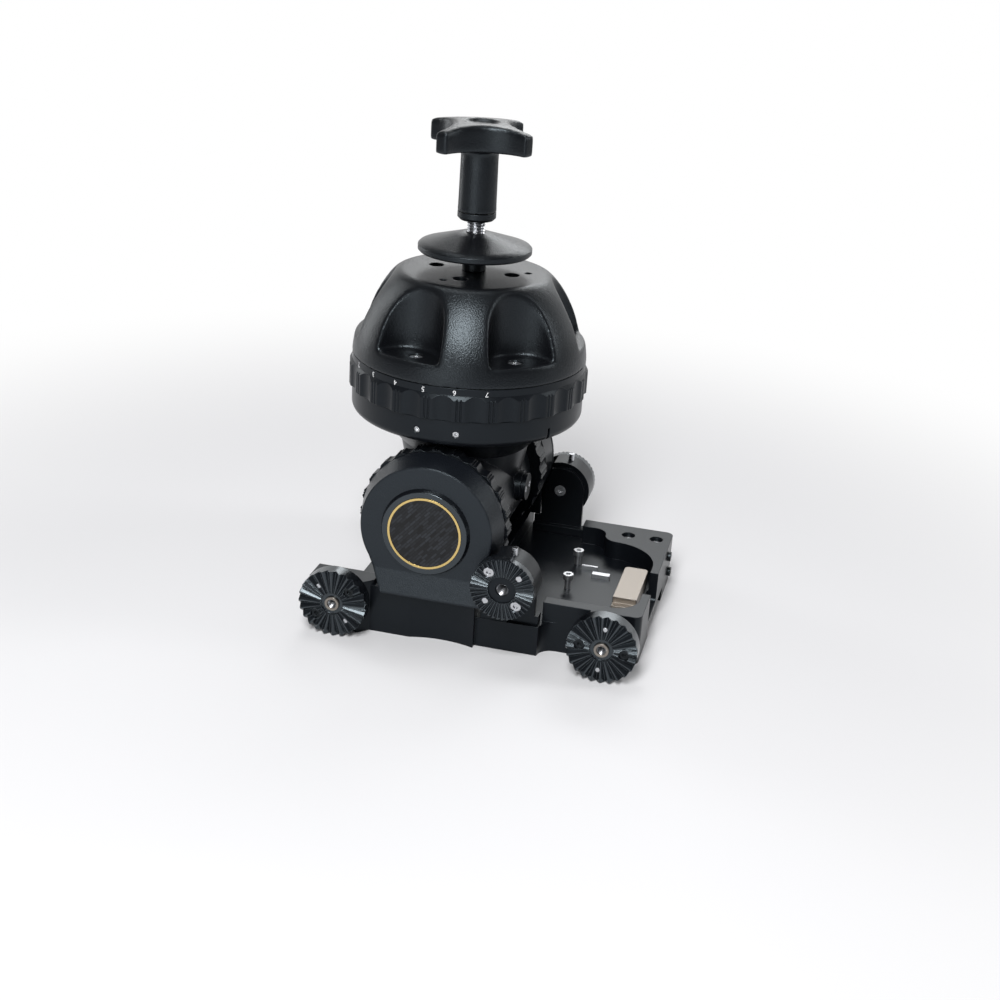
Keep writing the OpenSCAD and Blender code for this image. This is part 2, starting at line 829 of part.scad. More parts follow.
// Places the children on the side of the pan base, facing outwards
module set_screw_places() {
    for (turn = set_screw_turns)
        rotate([0, 0, turn])
            translate([pan_base_r - set_screw_sink, 0, pan_lever_z])
                rotate([0, 90, 0])
                    children();
}

module pan_base_set_screws() {
    color(bare_steel) set_screw_places() screw(set_screw);
}

module pan_spindle() {
    color(bare_steel)
    difference() {
        union() {
            bar_z(spindle_r, nut_z0, journal_z + over);
            bar_z(journal_r, journal_z, ball_z0 + over);
            bar_z(turntable_r, ball_z0, ball_z0 + turntable_t);
        }
        around(pocket_count, ball_yaw)
            translate([pocket_bolt_pitch, 0, pocket_z - pocket_bolt_sink])
                screw_hole(pocket_bolt);
    }
}

module pan_spindle_nut() {
    color(bare_steel) ring_z(spindle_nut_r, spindle_r + seat_gap, nut_z0, nut_z1);
}

module pan_drag_rotor() {
    color(bare_steel)
        ring_z(chamber_r - pan_rotor_room, spindle_r + seat_gap, pan_rotor_z, pan_rotor_z + pan_drag_t);
}

module pan_drag_stator() {
    color(bare_steel)
        ring_z(chamber_r - seat_gap, pan_lower_bearing_r, pan_floor_z, pan_floor_z + pan_drag_t);
}

module pan_bearing_upper() {
    color(bare_steel) ring_z(chamber_r - seat_gap, journal_r + run_gap, journal_z, spigot_z1);
}

module pan_bearing_lower() {
    color(bare_steel) ring_z(pan_lower_bearing_r, spindle_r + run_gap, pan_base_z0, pan_floor_z);
}

module pan_brake_lever() {
    color(powder_black) {
        rod_y(pan_lever_stub_r, pan_lever_y - pan_lever_stub_l, pan_lever_y + over, 0, pan_lever_z);
        rod_y(pan_lever_hub_r, pan_lever_y, pan_lever_y + pan_lever_hub_l, 0, pan_lever_z);
        translate([0, pan_lever_y + pan_lever_hub_l, pan_lever_z])
            rotate([90, 0, 0])
                linear_extrude(height = lever_arm_t)
                    lever_outline(pan_lever_hub_r, pan_lever_l);
    }
}

// Tilt unit

// Flared neck between the barrel and the pan base
module neck() {
    root_r = barrel_r - over;
    root_z = tilt_axis_h + neck_root_h;
    waist_r = root_r + neck_swell;
    rim_h = 3;
    intersection() {
        rotate_extrude()
            polygon([[0, root_z], [root_r, root_z], [waist_r, (root_z + pan_base_z0) / 2],
                     [neck_r, pan_base_z0 - rim_h], [neck_r, pan_base_z0], [0, pan_base_z0]]);
        translate([-neck_r, -neck_near, root_z])
            cube([2 * neck_r, neck_near + neck_far, pan_base_z0 - root_z]);
    }
}

module tilt_housing() {
    color(anodised_black)
    difference() {
        union() {
            rod_y(barrel_r, -barrel_near, balance_ring_y - face_gap);
            rod_y(ring_seat_r, -barrel_end, plate_y0);
            neck();
            translate([0, flank_cap_y, flank_cap_z])
                rotate([0, 90, 0])
                    cylinder(h = flank_pad_x, r = flank_cap_r + over);
        }
        rod_y(barrel_bore_r, -barrel_end - over, plate_y0 + over);
        bar_z(nut_pocket_r, nut_pocket_z, pan_base_z0 + over);
        flank_screw_places() screw_hole(set_screw, flank_cap_t);
    }
}

module far_drum() {
    color(anodised_black) ring_y(drum_r, ring_seat_r + seat_gap, drum_y0, barrel_end);
}

module tilt_end_plate_near() {
    color(anodised_black)
        ring_y(barrel_bore_r - seat_gap, tilt_bearing_r + seat_gap, -barrel_end, -plate_y0);
}

module tilt_end_plate_far() {
    color(anodised_black)
        ring_y(ring_seat_r, tilt_bearing_r + seat_gap, plate_y0, barrel_end);
}

module tilt_bearing_near() {
    color(bare_steel) ring_y(tilt_bearing_r, shaft_r + run_gap, -barrel_end, -plate_y0);
}

module tilt_bearing_far() {
    color(bare_steel) ring_y(tilt_bearing_r, shaft_r + run_gap, plate_y0, barrel_end);
}

module tilt_shaft() {
    color(bare_steel) rod_y(shaft_r, -shaft_near, shaft_far);
}

module tilt_drag_rotor() {
    color(bare_steel) ring_y(rotor_r, shaft_r + seat_gap, -rotor_y, -rotor_y + tilt_drag_t);
}

module tilt_drag_stator() {
    stator_y = -rotor_y + tilt_drag_t + face_gap;
    color(bare_steel)
        ring_y(barrel_bore_r - seat_gap, shaft_r + shaft_room, stator_y, stator_y + tilt_drag_t);
}

// A flat spiral strip between the shaft and the bore
module counterbalance_spring() {
    strip = 1.4;
    steps_per_turn = 16;
    steps = steps_per_turn * spring_turns;
    r0 = shaft_r + shaft_room;
    r1 = barrel_bore_r - face_gap;
    function spiral(i, offset_r) =
        (r0 + strip + (r1 - r0 - strip) * i / steps - offset_r)
        * [cos(360 * spring_turns * i / steps), sin(360 * spring_turns * i / steps)];
    color(bare_steel)
    translate([0, spring_w, tilt_axis_h])
        rotate([90, 0, 0])
            linear_extrude(height = spring_w)
                polygon(concat([for (i = [0 : steps]) spiral(i, 0)],
                               [for (i = [steps : -1 : 0]) spiral(i, strip)]));
}

// A ring with finger scallops, turning on a seat of the barrel
module grip_ring(r, y0, y1) {
    difference() {
        translate([0, y1, tilt_axis_h])
            rotate([90, 0, 0])
                linear_extrude(height = y1 - y0)
                    scalloped_outline(r, scallop_count, 0);
        rod_y(ring_seat_r + run_gap, y0 - over, y1 + over);
    }
}

module counterbalance_ring() {
    color(powder_black) grip_ring(balance_ring_r, balance_ring_y, balance_y1);
}

module tilt_drag_ring() {
    color(powder_black) grip_ring(tilt_ring_r, -tilt_ring_y1, -tilt_ring_y0);
}

// Places the children on the flank pad, facing outwards
module flank_screw_places() {
    for (side = [-1, 1])
        translate([flank_pad_x + flank_cap_t, flank_cap_y + side * flank_screw_pitch, flank_cap_z])
            rotate([0, 90, 0])
                children();
}

module flank_cap() {
    color(anodised_black)
    difference() {
        translate([flank_pad_x, flank_cap_y, flank_cap_z])
            rotate([0, 90, 0])
                cylinder(h = flank_cap_t, r = flank_cap_r);
        flank_screw_places() screw_hole(set_screw);
    }
}

module flank_cap_screws() {
    color(bare_steel) flank_screw_places() screw(set_screw);
}

// Platform

// Plan of the near half of the slab
module slab_plan() {
    scallop_r = (scallop_w * scallop_w / 4 + scallop_d * scallop_d) / (2 * scallop_d);
    difference() {
        union() {
            translate([block_x0, -side_half]) square([block_x1 - block_x0, side_half]);
            translate([block_x0, -mid_half]) square([recess_x0 - block_x0, mid_half]);
            translate([recess_x0 - over, -mid_half]) square([fillet_r + over, mid_half]);
        }
        translate([recess_x0 + fillet_r, -mid_half]) circle(r = fillet_r);
        translate([scallop_x, -side_half + scallop_d - scallop_r]) circle(r = scallop_r);
    }
}

// What a round of radius r leaves of the corner at x and y; sx and sy say which way it points
module corner_rest(x, y, sx, sy, r) {
    difference() {
        translate([min(x, x - sx * r), min(y, y - sy * r)]) square(r);
        translate([x - sx * r, y - sy * r]) circle(r = r);
    }
}

// Plan of the recess: a field with a bay on its far side
module recess_plan() {
    start = recess_x0 - 2 * corner_r;
    difference() {
        union() {
            translate([start, recess_y0]) square([recess_x1 - start, far_block_y - recess_y0]);
            translate([start, recess_y0]) square([bay_x1 - start, recess_y1 - recess_y0]);
            corner_rest(bay_x1, far_block_y, -1, -1, bay_r);
        }
        corner_rest(recess_x1, recess_y0, 1, -1, recess_near_r);
        corner_rest(recess_x1, far_block_y, 1, 1, recess_far_r);
        corner_rest(bay_x1, recess_y1, 1, 1, bay_r);
    }
}

// Plan of the walls round the recess
module wall_plan() {
    difference() {
        round_rect(recess_x0 - corner_r, plat_x1, -plat_half, plat_half, corner_r);
        translate([recess_x0 - 2 * corner_r, -plat_half - over])
            square([2 * corner_r, 2 * plat_half + 2 * over]);
        recess_plan();
    }
}

// A corner boss, with its outer corner cut off
module boss_plan() {
    polygon([[boss_x0, -boss_back], [boss_x0, -rosette_back],
             [boss_x1 - boss_chamfer, -rosette_back], [boss_x1, -rosette_back + boss_chamfer],
             [boss_x1, -boss_back]]);
}

// Camera plate channel along X
module plate_channel() {
    lip = 2;
    mouth = channel_half;
    wide = channel_half + channel_undercut;
    translate([block_x0 - over, 0, 0])
        rotate([90, 0, 90])
            linear_extrude(height = plat_x1 - block_x0 + 2 * over)
                polygon([[-mouth, -over], [mouth, -over], [mouth, 0], [wide, channel_depth - lip],
                         [wide, channel_depth], [-wide, channel_depth], [-wide, channel_depth - lip],
                         [-mouth, 0]]);
}

// Notch through the end wall, open at its top
module end_notch() {
    translate([recess_x1 - over, 0, 0])
        rotate([90, 0, 90])
            linear_extrude(height = end_wall + 2 * over)
                round_rect(notch_y0, notch_y1, notch_z, wall_h + 2 * notch_r, notch_r);
}

module recess_bolt_places() {
    for (place = recess_bolt_at)
        translate([place[0], place[1], slab_t + recess_bolt_stand + recess_bolt[1]])
            children();
}

module wall_screw_places() {
    for (x = wall_screw_x)
        translate([x, plat_half - wall_screw_in, wall_h - wall_screw_sink])
            children();
}

module end_screw_places() {
    for (place = end_screw_at)
        translate([plat_x1 + small_screw[1], place[0], place[1]])
            rotate([0, 90, 0])
                children();
}

module platform() {
    color(anodised_black)
    difference() {
        union() {
            both_sides() {
                linear_extrude(height = slab_t) slab_plan();
                translate([block_x0, -side_half, 0])
                    cube([block_x1 - block_x0, side_half - boss_back + 2 * over, block_h]);
            }
            linear_extrude(height = boss_top) boss_plan();
            translate([web_x - web_w / 2, -rosette_back, web_z0])
                cube([web_w, rosette_back - plat_half + over, wall_h - web_z0]);
            translate([block_x0, -side_half + over, 0])
                cube([block_x1 - block_x0, 2 * (side_half - over), block_h]);
            linear_extrude(height = slab_t)
                round_rect(recess_x0 - corner_r, plat_x1, -plat_half, plat_half, corner_r);
            linear_extrude(height = wall_h) wall_plan();
        }
        rod_y(saddle_r, -cheek_inner, cheek_inner);
        plate_channel();
        end_notch();
        recess_bolt_places() screw_hole(recess_bolt);
        wall_screw_places() {
            screw_hole(small_screw);
            bar_z(wall_bore_r, 0, wall_screw_sink + over);
        }
        end_screw_places() screw_hole(small_screw);
    }
}

module recess_bolts() {
    color(bare_steel) recess_bolt_places() screw(recess_bolt);
}

module wall_screws() {
    color(bare_steel) wall_screw_places() screw(small_screw);
}

module end_screws() {
    color(anodised_black) end_screw_places() screw(small_screw);
}

module latch_stop() {
    color(bare_steel)
    for (bar = stop_bars)
        translate([bar[0], bar[1], slab_t]) cube([bar[2], bar[3], stop_h]);
}

module plate_latch() {
    color(nickel)
    difference() {
        translate([0, 0, latch_z])
            linear_extrude(height = latch_h)
                round_rect(latch_x0, latch_x0 + latch_w, latch_y0, latch_y0 + latch_l, latch_round);
        for (step = latch_steps)
            translate([latch_x0 - over, latch_y0 - over, latch_z + latch_h - step[1]])
                cube([latch_w + 2 * over, step[0] + over, latch_h]);
    }
}

// Outline of a cheek's upright below its round head
module pillar_plan() {
    shoulder_x = sqrt(cheek_face_r * cheek_face_r - shoulder_drop * shoulder_drop);
    polygon([[pillar_x0, block_h], [pillar_x1, block_h], [pillar_x1, tilt_axis_h],
             [0, tilt_axis_h], [-shoulder_x, tilt_axis_h - shoulder_drop]]);
}

module cheek() {
    difference() {
        union() {
            rod_y(cheek_r, -cheek_inner - cheek_edge, -cheek_inner);
            rod_y(cheek_face_r, -cheek_face, -cheek_inner - cheek_edge, r_end = cheek_r);
            translate([0, -cheek_inner, 0])
                rotate([90, 0, 0])
                    linear_extrude(height = cheek_t)
                        pillar_plan();
            intersection() {
                translate([0, -cheek_inner, 0])
                    rotate([90, 0, 0])
                        linear_extrude(height = cheek_t + cheek_flare)
                            pillar_plan();
                translate([-cheek_r, 0, 0])
                    rotate([90, 0, 90])
                        linear_extrude(height = 2 * cheek_r)
                            polygon([[-cheek_face + over, block_h], [-cheek_face - cheek_flare, block_h],
                                     [-cheek_face, cheek_crease], [-cheek_face + over, cheek_crease]]);
            }
        }
        translate([-cheek_r, -cheek_face - cheek_flare - over, 0])
            cube([2 * cheek_r, cheek_t + cheek_flare + 2 * over, block_h]);
        rod_y(shaft_r + seat_gap, -cheek_face - over, -cheek_inner + over);
    }
}

module near_cheek() {
    color(cheek_grey) cheek();
}

module far_cheek() {
    color(cheek_grey) mirror([0, 1, 0]) cheek();
}

module tilt_brake_lever() {
    lever_y = cheek_face + face_gap;
    arm_y = lever_y + tilt_lever_hub_l - tilt_arm_in;
    color(powder_black) {
        rod_y(shaft_r - run_gap, shaft_far + face_gap, lever_y + over);
        rod_y(tilt_lever_hub_r, lever_y, lever_y + tilt_lever_hub_l);
        translate([0, arm_y, tilt_axis_h])
            rotate([90, 0, 0])
                linear_extrude(height = lever_arm_t)
                    rotate(tilt_lever_turn)
                        lever_outline(tilt_lever_hub_r, tilt_lever_l);
    }
}

module badge_boss() {
    color(anodised_black)
    difference() {
        rod_y(boss_r - boss_edge, boss_y, -cheek_face, r_end = boss_r);
        rod_y(badge_r + seat_gap, boss_y - over, badge_floor_y);
    }
}

module badge_ring() {
    color(gold) ring_y(badge_r, badge_r - badge_ring_w, boss_y - badge_proud, badge_floor_y);
}

module badge_disc() {
    color(powder_black) rod_y(badge_r - badge_ring_w - seat_gap, boss_y, badge_floor_y);
}

// Ears for the pan handles

// Puts what belongs to the near ear on the far one
module far_side() {
    translate([0, -far_ear_in, 0]) mirror([0, 1, 0]) children();
}

module both_ears() {
    children();
    far_side() children();
}

// A near ear; the tilt unit and the cheek beside it are cut clear as if they stood further out
module ear(out = 0) {
    hub_l = ear_rosette_t - over;
    cheek_y = cheek_inner + out;
    cheek_y1 = cheek_face + cheek_flare + over + out;
    difference() {
        union() {
            rod_y(ear_r, -ear_back, -ear_plate_y1, ear_x, ear_z);
            rod_y(ear_hub_r, -ear_back - hub_l, -ear_back + over, ear_x, ear_z);
            rod_y(ear_plate_r, -ear_plate_y1, -ear_inner, ear_x, ear_z);
            translate([ear_plate_x0, -ear_plate_y1, slab_t])
                cube([ear_plate_x1 - ear_plate_x0, ear_plate_t, ear_z - slab_t]);
            translate([ear_foot_x0, -ear_plate_y1, slab_t])
                cube([ear_foot_x1 - ear_foot_x0, ear_plate_t + ear_toe, ear_foot_t]);
            translate([ear_plate_x0, -ear_toe_y, slab_t])
                cube([ear_x - ear_plate_x0, ear_toe_y - ear_inner, ear_foot_t]);
        }
        rod_y(tilt_ring_r + ear_clear, -max(cheek_y + face_gap, ear_inner), -ear_inner + 2 * over);
        rod_y(cheek_r + 2 * face_gap, -cheek_y1, -cheek_y);
        translate([0, -cheek_y1, block_h - over])
            cube([pillar_x1 + 2 * face_gap, cheek_y1 - cheek_y, tilt_axis_h - block_h]);
        rod_y(ear_bore_r, -ear_back - hub_l - over, -ear_back - hub_l + ear_bore_depth, ear_x, ear_z);
        ear_screw_place() screw_hole(ear_screw);
        ear_pin_place() bar_z(ear_pin_r + seat_gap, -ear_pin_l, ear_r);
    }
}

module ear_screw_place() {
    translate([ear_x, -ear_inner, ear_z]) rotate([-90, 0, 0]) children();
}

module ear_pin_place() {
    translate([ear_x + ear_pin_x, -ear_inner - ear_pin_y, ear_z + ear_r + ear_pin_proud])
        children();
}

module near_ear() {
    color(anodised_black) ear();
}

module far_ear() {
    color(anodised_black) far_side() ear(far_ear_in);
}

module ear_screws() {
    color(bare_steel) both_ears() ear_screw_place() screw(ear_screw);
}

module ear_stop_pins() {
    color(bare_steel) both_ears() ear_pin_place() bar_z(ear_pin_r, -ear_pin_l, 0);
}

// Rosettes

module handle_rosette() {
    near_face(ear_x, rosette_face, ear_z)
    difference() {
        bar_z(ear_r, -ear_rosette_t, 0);
        rosette_grooves(ear_r, ear_teeth);
        bar_z(ear_hub_r + seat_gap, -ear_rosette_t - over, over);
        rosette_fastener_holes(ear_pitch, ear_turn, ear_rosette_screw, handle_pin_r);
    }
}

// Screws and pins stand a quarter turn apart on one pitch circle
module rosette_screw_places(pitch, turn) {
    around(2, turn) translate([pitch, 0, -screw_sink]) children();
}

module rosette_pin_places(pitch, turn) {
    around(2, turn + 90) translate([pitch, 0, -pin_sink]) children();
}

module rosette_fastener_holes(pitch, turn, size, pin) {
    rosette_screw_places(pitch, turn) screw_hole(size, screw_sink + over);
    rosette_pin_places(pitch, turn) bar_z(pin + seat_gap, -pin_l + pin_sink, pin_sink + over);
}

module near_handle_rosette() {
    color(anodised_black) handle_rosette();
}

module far_handle_rosette() {
    color(anodised_black) far_side() handle_rosette();
}

module handle_rosette_screws() {
    color(bare_steel)
    both_ears()
        near_face(ear_x, rosette_face, ear_z)
            rosette_screw_places(ear_pitch, ear_turn)
                screw(ear_rosette_screw);
}

module handle_rosette_pins() {
    color(bare_steel)
    both_ears()
        near_face(ear_x, rosette_face, ear_z)
            rosette_pin_places(ear_pitch, ear_turn)
                bar_z(handle_pin_r, -pin_l + pin_sink, 0);
}

module corner_rosette(x, turn) {
    near_face(x, rosette_face, rosette_z)
    difference() {
        bar_z(rosette_r, -rosette_t, 0);
        rotate([0, 0, turn]) rosette_grooves(rosette_r, rosette_teeth);
        bar_z(hub_recess_r, -hub_recess, over);
        bar_z(rosette_insert_r + seat_gap, -rosette_t - over, over);
        rosette_fastener_holes(rosette_pitch, turn, small_screw, pin_r);
    }
}

module near_left_rosette() {
    color(anodised_black) corner_rosette(-rosette_left, rosette_turn_left);
}

module near_right_rosette() {
    color(anodised_black) corner_rosette(rosette_right, rosette_turn_right);
}

// Repeats the children at the centre of each corner rosette, turned with it
module corner_places() {
    near_face(-rosette_left, rosette_face, rosette_z) rotate([0, 0, rosette_turn_left]) children();
    near_face(rosette_right, rosette_face, rosette_z) rotate([0, 0, rosette_turn_right]) children();
}

module rosette_inserts() {
    color(nickel) corner_places() ring_z(rosette_insert_r, rosette_bore_r, -rosette_t, 0);
}

module rosette_screws() {
    color(anodised_black) corner_places() rosette_screw_places(rosette_pitch, 0) screw(small_screw);
}

module rosette_pins() {
    color(bare_steel)
    corner_places()
        rosette_pin_places(rosette_pitch, 0)
            bar_z(pin_r, -pin_l + pin_sink, 0);
}
half_ball();
ball_pocket_bolts();
ball_flat_bolts();
tie_down_stud();
clamp_washer();
tie_down_thrust_ring();
tie_down_knob();
tie_down_insert();
pan_drag_ring();
pan_base();
pan_base_set_screws();
pan_spindle();
pan_spindle_nut();
pan_drag_rotor();
pan_drag_stator();
pan_bearing_upper();
pan_bearing_lower();
pan_brake_lever();
tilt_housing();
far_drum();
tilt_end_plate_near();
tilt_end_plate_far();
tilt_bearing_near();
tilt_bearing_far();
tilt_shaft();
tilt_drag_rotor();
tilt_drag_stator();
counterbalance_spring();
counterbalance_ring();
tilt_drag_ring();
flank_cap();
flank_cap_screws();
platform();
recess_bolts();
latch_stop();
plate_latch();
wall_screws();
end_screws();
near_cheek();
far_cheek();
tilt_brake_lever();
badge_boss();
badge_ring();
badge_disc();
near_ear();
far_ear();
near_handle_rosette();
far_handle_rosette();
handle_rosette_screws();
handle_rosette_pins();
ear_screws();
ear_stop_pins();
near_left_rosette();
near_right_rosette();
rosette_inserts();
rosette_screws();
rosette_pins();
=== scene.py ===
"""Looks of a fluid video head: its finishes, the shapes that the CAD leaves plain, and a stage."""

import json
import math

import bmesh
import bpy
import numpy as np
from bpy.props import FloatProperty, FloatVectorProperty, IntProperty, PointerProperty
from bpy.types import NodeSocket, Operator, Panel, PropertyGroup
from mathutils import Matrix, Vector


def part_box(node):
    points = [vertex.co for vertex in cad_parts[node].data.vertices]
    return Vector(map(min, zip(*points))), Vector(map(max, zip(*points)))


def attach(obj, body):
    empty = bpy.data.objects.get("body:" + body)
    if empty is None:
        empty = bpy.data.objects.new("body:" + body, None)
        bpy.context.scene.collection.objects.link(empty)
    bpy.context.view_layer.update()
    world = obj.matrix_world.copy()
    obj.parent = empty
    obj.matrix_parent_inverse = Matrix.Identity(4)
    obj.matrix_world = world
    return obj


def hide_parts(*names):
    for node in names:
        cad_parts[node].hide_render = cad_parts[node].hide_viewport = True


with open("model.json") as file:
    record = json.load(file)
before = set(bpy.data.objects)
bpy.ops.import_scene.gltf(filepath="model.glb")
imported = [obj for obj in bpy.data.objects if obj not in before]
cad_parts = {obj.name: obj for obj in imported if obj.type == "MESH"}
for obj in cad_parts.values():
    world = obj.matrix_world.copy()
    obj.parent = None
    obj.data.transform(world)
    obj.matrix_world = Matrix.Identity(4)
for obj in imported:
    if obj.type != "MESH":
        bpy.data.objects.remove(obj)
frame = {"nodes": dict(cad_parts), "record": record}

bl_info = {
    "name": "Fluid Video Head",
    "version": (1, 0, 0),
    "blender": (4, 5, 0),
    "location": "3D View > Sidebar > Video Head",
    "description": "Dresses the CAD model of a fluid video head and sets it on a studio stage",
    "category": "Object",
}

MM = 0.001
# Faces that meet at more than this show a hard line; on the cheeks a shallow fold does too
SMOOTH_ANGLE = math.radians(30)
FOLD_ANGLE = math.radians(9)
# Distance within which two vertices are one
SEAM = 0.001 * MM
# Samples that round an edge in a material
EDGE_SAMPLES = 6
# Fewest sides of a drill, and the width of one side of a wide one
DRILL_SIDES, DRILL_SIDE = 40, 0.3 * MM
# Height of a numeral as a share of the font's size
CAP_HEIGHT = 0.7
# Points in a ring of a thread, and rings in one of its turns
COLUMNS, RINGS = 32, 8
# Outer radius of a tapped thread as a share of its hole's radius
TAP_OUTER = 0.99
# What keeps its shape when a casting is softened, in millimetres: the half ball inside a radius
# and below a height, and the knob below a height. Softness grows over a short way outside that.
BALL_FLAT, BALL_RIM, BALL_WAY = 40, 6, 4
SLEEVE_END, SLEEVE_WAY = 2, 1
# A cheek's vertices within this reach of its foot's outermost point move with it
TOE_REACH = 0.1 * MM
# Shift of each row of tows against the next one, as a share of a tow's length
TOW_SHIFT = 0.33
# Soft boxes: name, width and height, and place, in metres
LIGHTS = (
    ("key", (0.35, 0.9), (0.05, -1.0, 1.1)),
    ("low", (1.0, 0.25), (-0.25, -1.5, 0.22)),
    ("left", (0.3, 1.0), (-1.3, 0.45, 0.5)),
    ("right", (0.3, 1.0), (1.3, 0.3, 0.8)),
    ("top", (0.6, 0.6), (-0.25, 0.3, 1.6)),
    ("back", (1.2, 0.4), (0.1, 1.3, 1.0)),
)
# Point that the lights face
LIT_POINT = (0.03, 0, 0.14)
# Half the floor's side, and the backdrop's distance and height
FLOOR_HALF, WALL_AWAY, WALL_HEIGHT = 3.0, 2.4, 1.8
WHITE = (1, 1, 1, 1)

COATED = (
    "clamp_washer",
    "tie_down_thrust_ring",
    "pan_brake_lever",
    "tilt_brake_lever",
)
ANODISED = (
    "pan_base",
    "pan_drag_ring",
    "tilt_housing",
    "far_drum",
    "tilt_drag_ring",
    "counterbalance_ring",
    "flank_cap",
    "near_ear",
    "far_ear",
)
BRIGHT_DIPPED = (
    "near_handle_rosette",
    "far_handle_rosette",
    "near_left_rosette",
    "near_right_rosette",
    "badge_boss",
)
BLACK_STEEL = ("ball_flat_bolts", "rosette_screws", "end_screws")
ZINCED = (
    "ball_pocket_bolts",
    "pan_base_set_screws",
    "flank_cap_screws",
    "ear_screws",
    "recess_bolts",
    "wall_screws",
    "latch_stop",
)
BRIGHT_STEEL = (
    "pan_spindle",
    "pan_spindle_nut",
    "pan_drag_rotor",
    "pan_drag_stator",
    "pan_bearing_upper",
    "pan_bearing_lower",
    "tilt_bearing_near",
    "tilt_bearing_far",
    "tilt_shaft",
    "tilt_drag_rotor",
    "tilt_drag_stator",
    "counterbalance_spring",
    "handle_rosette_screws",
    "handle_rosette_pins",
    "ear_stop_pins",
    "rosette_pins",
)
BARE_ALUMINIUM = ("tilt_end_plate_near", "tilt_end_plate_far")
NICKELLED = ("plate_latch", "rosette_inserts")
BRASS = ("tie_down_insert",)

# Holes of the half ball, in millimetres: pitch radius, count, first turn in degrees, radius, and
# depth of the floor below the flat. The rows are for the pockets' bolts, the flat's bolts, the
# flat's small holes and the stud.
BALL_HOLES = (
    (60, 6, 12, 4.4, 43.2),
    (25, 4, 86, 4.8, 5.0),
    (34, 3, 12, 2.1, 5.0),
    (0, 1, 0, 6.1, 12.0),
)


def linear(code):
    """Linear RGBA of an sRGB hex colour."""
    parts = [int(code[i : i + 2], 16) / 255 for i in (0, 2, 4)]
    return [c / 12.92 if c <= 0.04045 else ((c + 0.055) / 1.055) ** 2.4 for c in parts] + [1.0]


def colour(name, description, code):
    """A colour property with its default as an sRGB hex value."""
    return FloatVectorProperty(
        name=name,
        description=description,
        subtype="COLOR",
        size=4,
        min=0,
        max=1,
        default=linear(code),
    )


def length(name, description, millimetres):
    """A length property with its default in millimetres."""
    return FloatProperty(
        name=name,
        description=description,
        unit="LENGTH",
        min=0,
        precision=5,
        default=millimetres * MM,
    )


def angle(name, description, degrees):
    """An angle property with its default in degrees."""
    return FloatProperty(
        name=name, description=description, subtype="ANGLE", default=math.radians(degrees)
    )


def power(name, description, watts):
    """A light's power with its default in watts."""
    return FloatProperty(name=name, description=description, unit="POWER", min=0, default=watts)


class HeadFinish(PropertyGroup):
    """Colours and grains of the finishes."""

    coat: colour("Powder coat", "Textured coat on the castings", "0b0c0f")
    paint: colour("Paint", "Textured paint on the cheeks", "12151a")
    anodised: colour("Anodised", "Black anodised faces", "0d0f13")
    oxide: colour("Black oxide", "Blackened steel screws", "0e0f11")
    cast: colour("Cast", "Cool cast of the light that the black coats throw back", "dcebf4")
    steel: colour("Steel", "Bright steel", "c2c4c8")
    aluminium: colour("Aluminium", "Bare machined aluminium", "cfd0d2")
    zinc: colour("Zinc", "Zinc plated screws", "c9cbce")
    nickel: colour("Nickel", "Satin nickel plate", "8c867f")
    gold: colour("Gold", "Gilt badge ring", "d8bd7c")
    brass: colour("Brass", "Machined brass", "b8924c")
    weave_dark: colour("Weave, dark", "Tows of the badge that run away from the light", "08090b")
    # Painted sheen: the tows that catch the light are painted grey on the black carbon
    weave_light: colour("Weave, light", "Tows of the badge that catch the light", "25282d")
    ink: colour("Ink", "Dial numbers", "dfe0e2")
    coat_grain: length("Coat grain", "Size of the grains in the powder coat", 0.8)
    paint_grain: length("Paint grain", "Size of the grains in the cheeks' paint", 0.8)
    blast_grain: length("Blast grain", "Size of the marks under the anodising", 0.16)
    edge: length("Edge", "Break on machined edges", 0.7)
    cheek_edge: length("Cheek edge", "Rounding on the cheeks' edges", 2.0)
    weave: length("Weave", "Width of a tow in the badge", 1.7)
    float_run: length("Float", "Length of a tow between its crossings in the badge", 5)
    slant: angle("Slant", "Lean of the tows in the badge", 48)


class HeadDetail(PropertyGroup):
    """Sizes of the pieces that are added to the CAD."""

    digit: length("Digit", "Height of the dial numbers", 3.2)
    digit_drop: length("Digit drop", "Depth of the numbers' middle below the band's top", 2.6)
    digit_turn: angle("Digit turn", "Turn of the last dial number about the pan axis", -66.4)
    digit_step: angle("Digit step", "Turn from one dial number to the next", 15)
    digit_count: IntProperty(name="Digits", description="Count of dial numbers from 0", default=8)
    band: length("Band", "Radius of the numbered band", 74.7)
    relief: length("Relief", "How far the dial numbers stand out", 0.06)
    flare: length("Flare", "How much further the cheeks' feet flare out", 2.5)
    hollow_width: length("Hollow width", "Width of the hollow in the platform's sides", 42)
    hollow_depth: length("Hollow depth", "Depth of the hollow in the platform's sides", 3.5)
    hollow_end: length("Hollow end", "Where the hollow ends along the lens axis", 33)
    side: length("Side", "Distance of the platform's sides from the pan axis", 82)
    tap_share: FloatProperty(
        name="Tap", description="Pitch of a tapped hole as a share of its radius", default=0.32
    )
    stud: length("Stud", "Outer radius of the tie down's stud", 5.88)
    stud_head: length("Stud head", "Thickness of the stud's head", 6)
    pitch: length("Pitch", "Pitch of the tie down's thread", 1.75)
    thread: length("Thread depth", "Depth of the tie down's thread", 0.95)
    grid: length("Casting grid", "Spacing of the grid that a casting is rebuilt on", 0.9)
    relax: IntProperty(name="Relax", description="Passes that round a casting's edges", default=16)


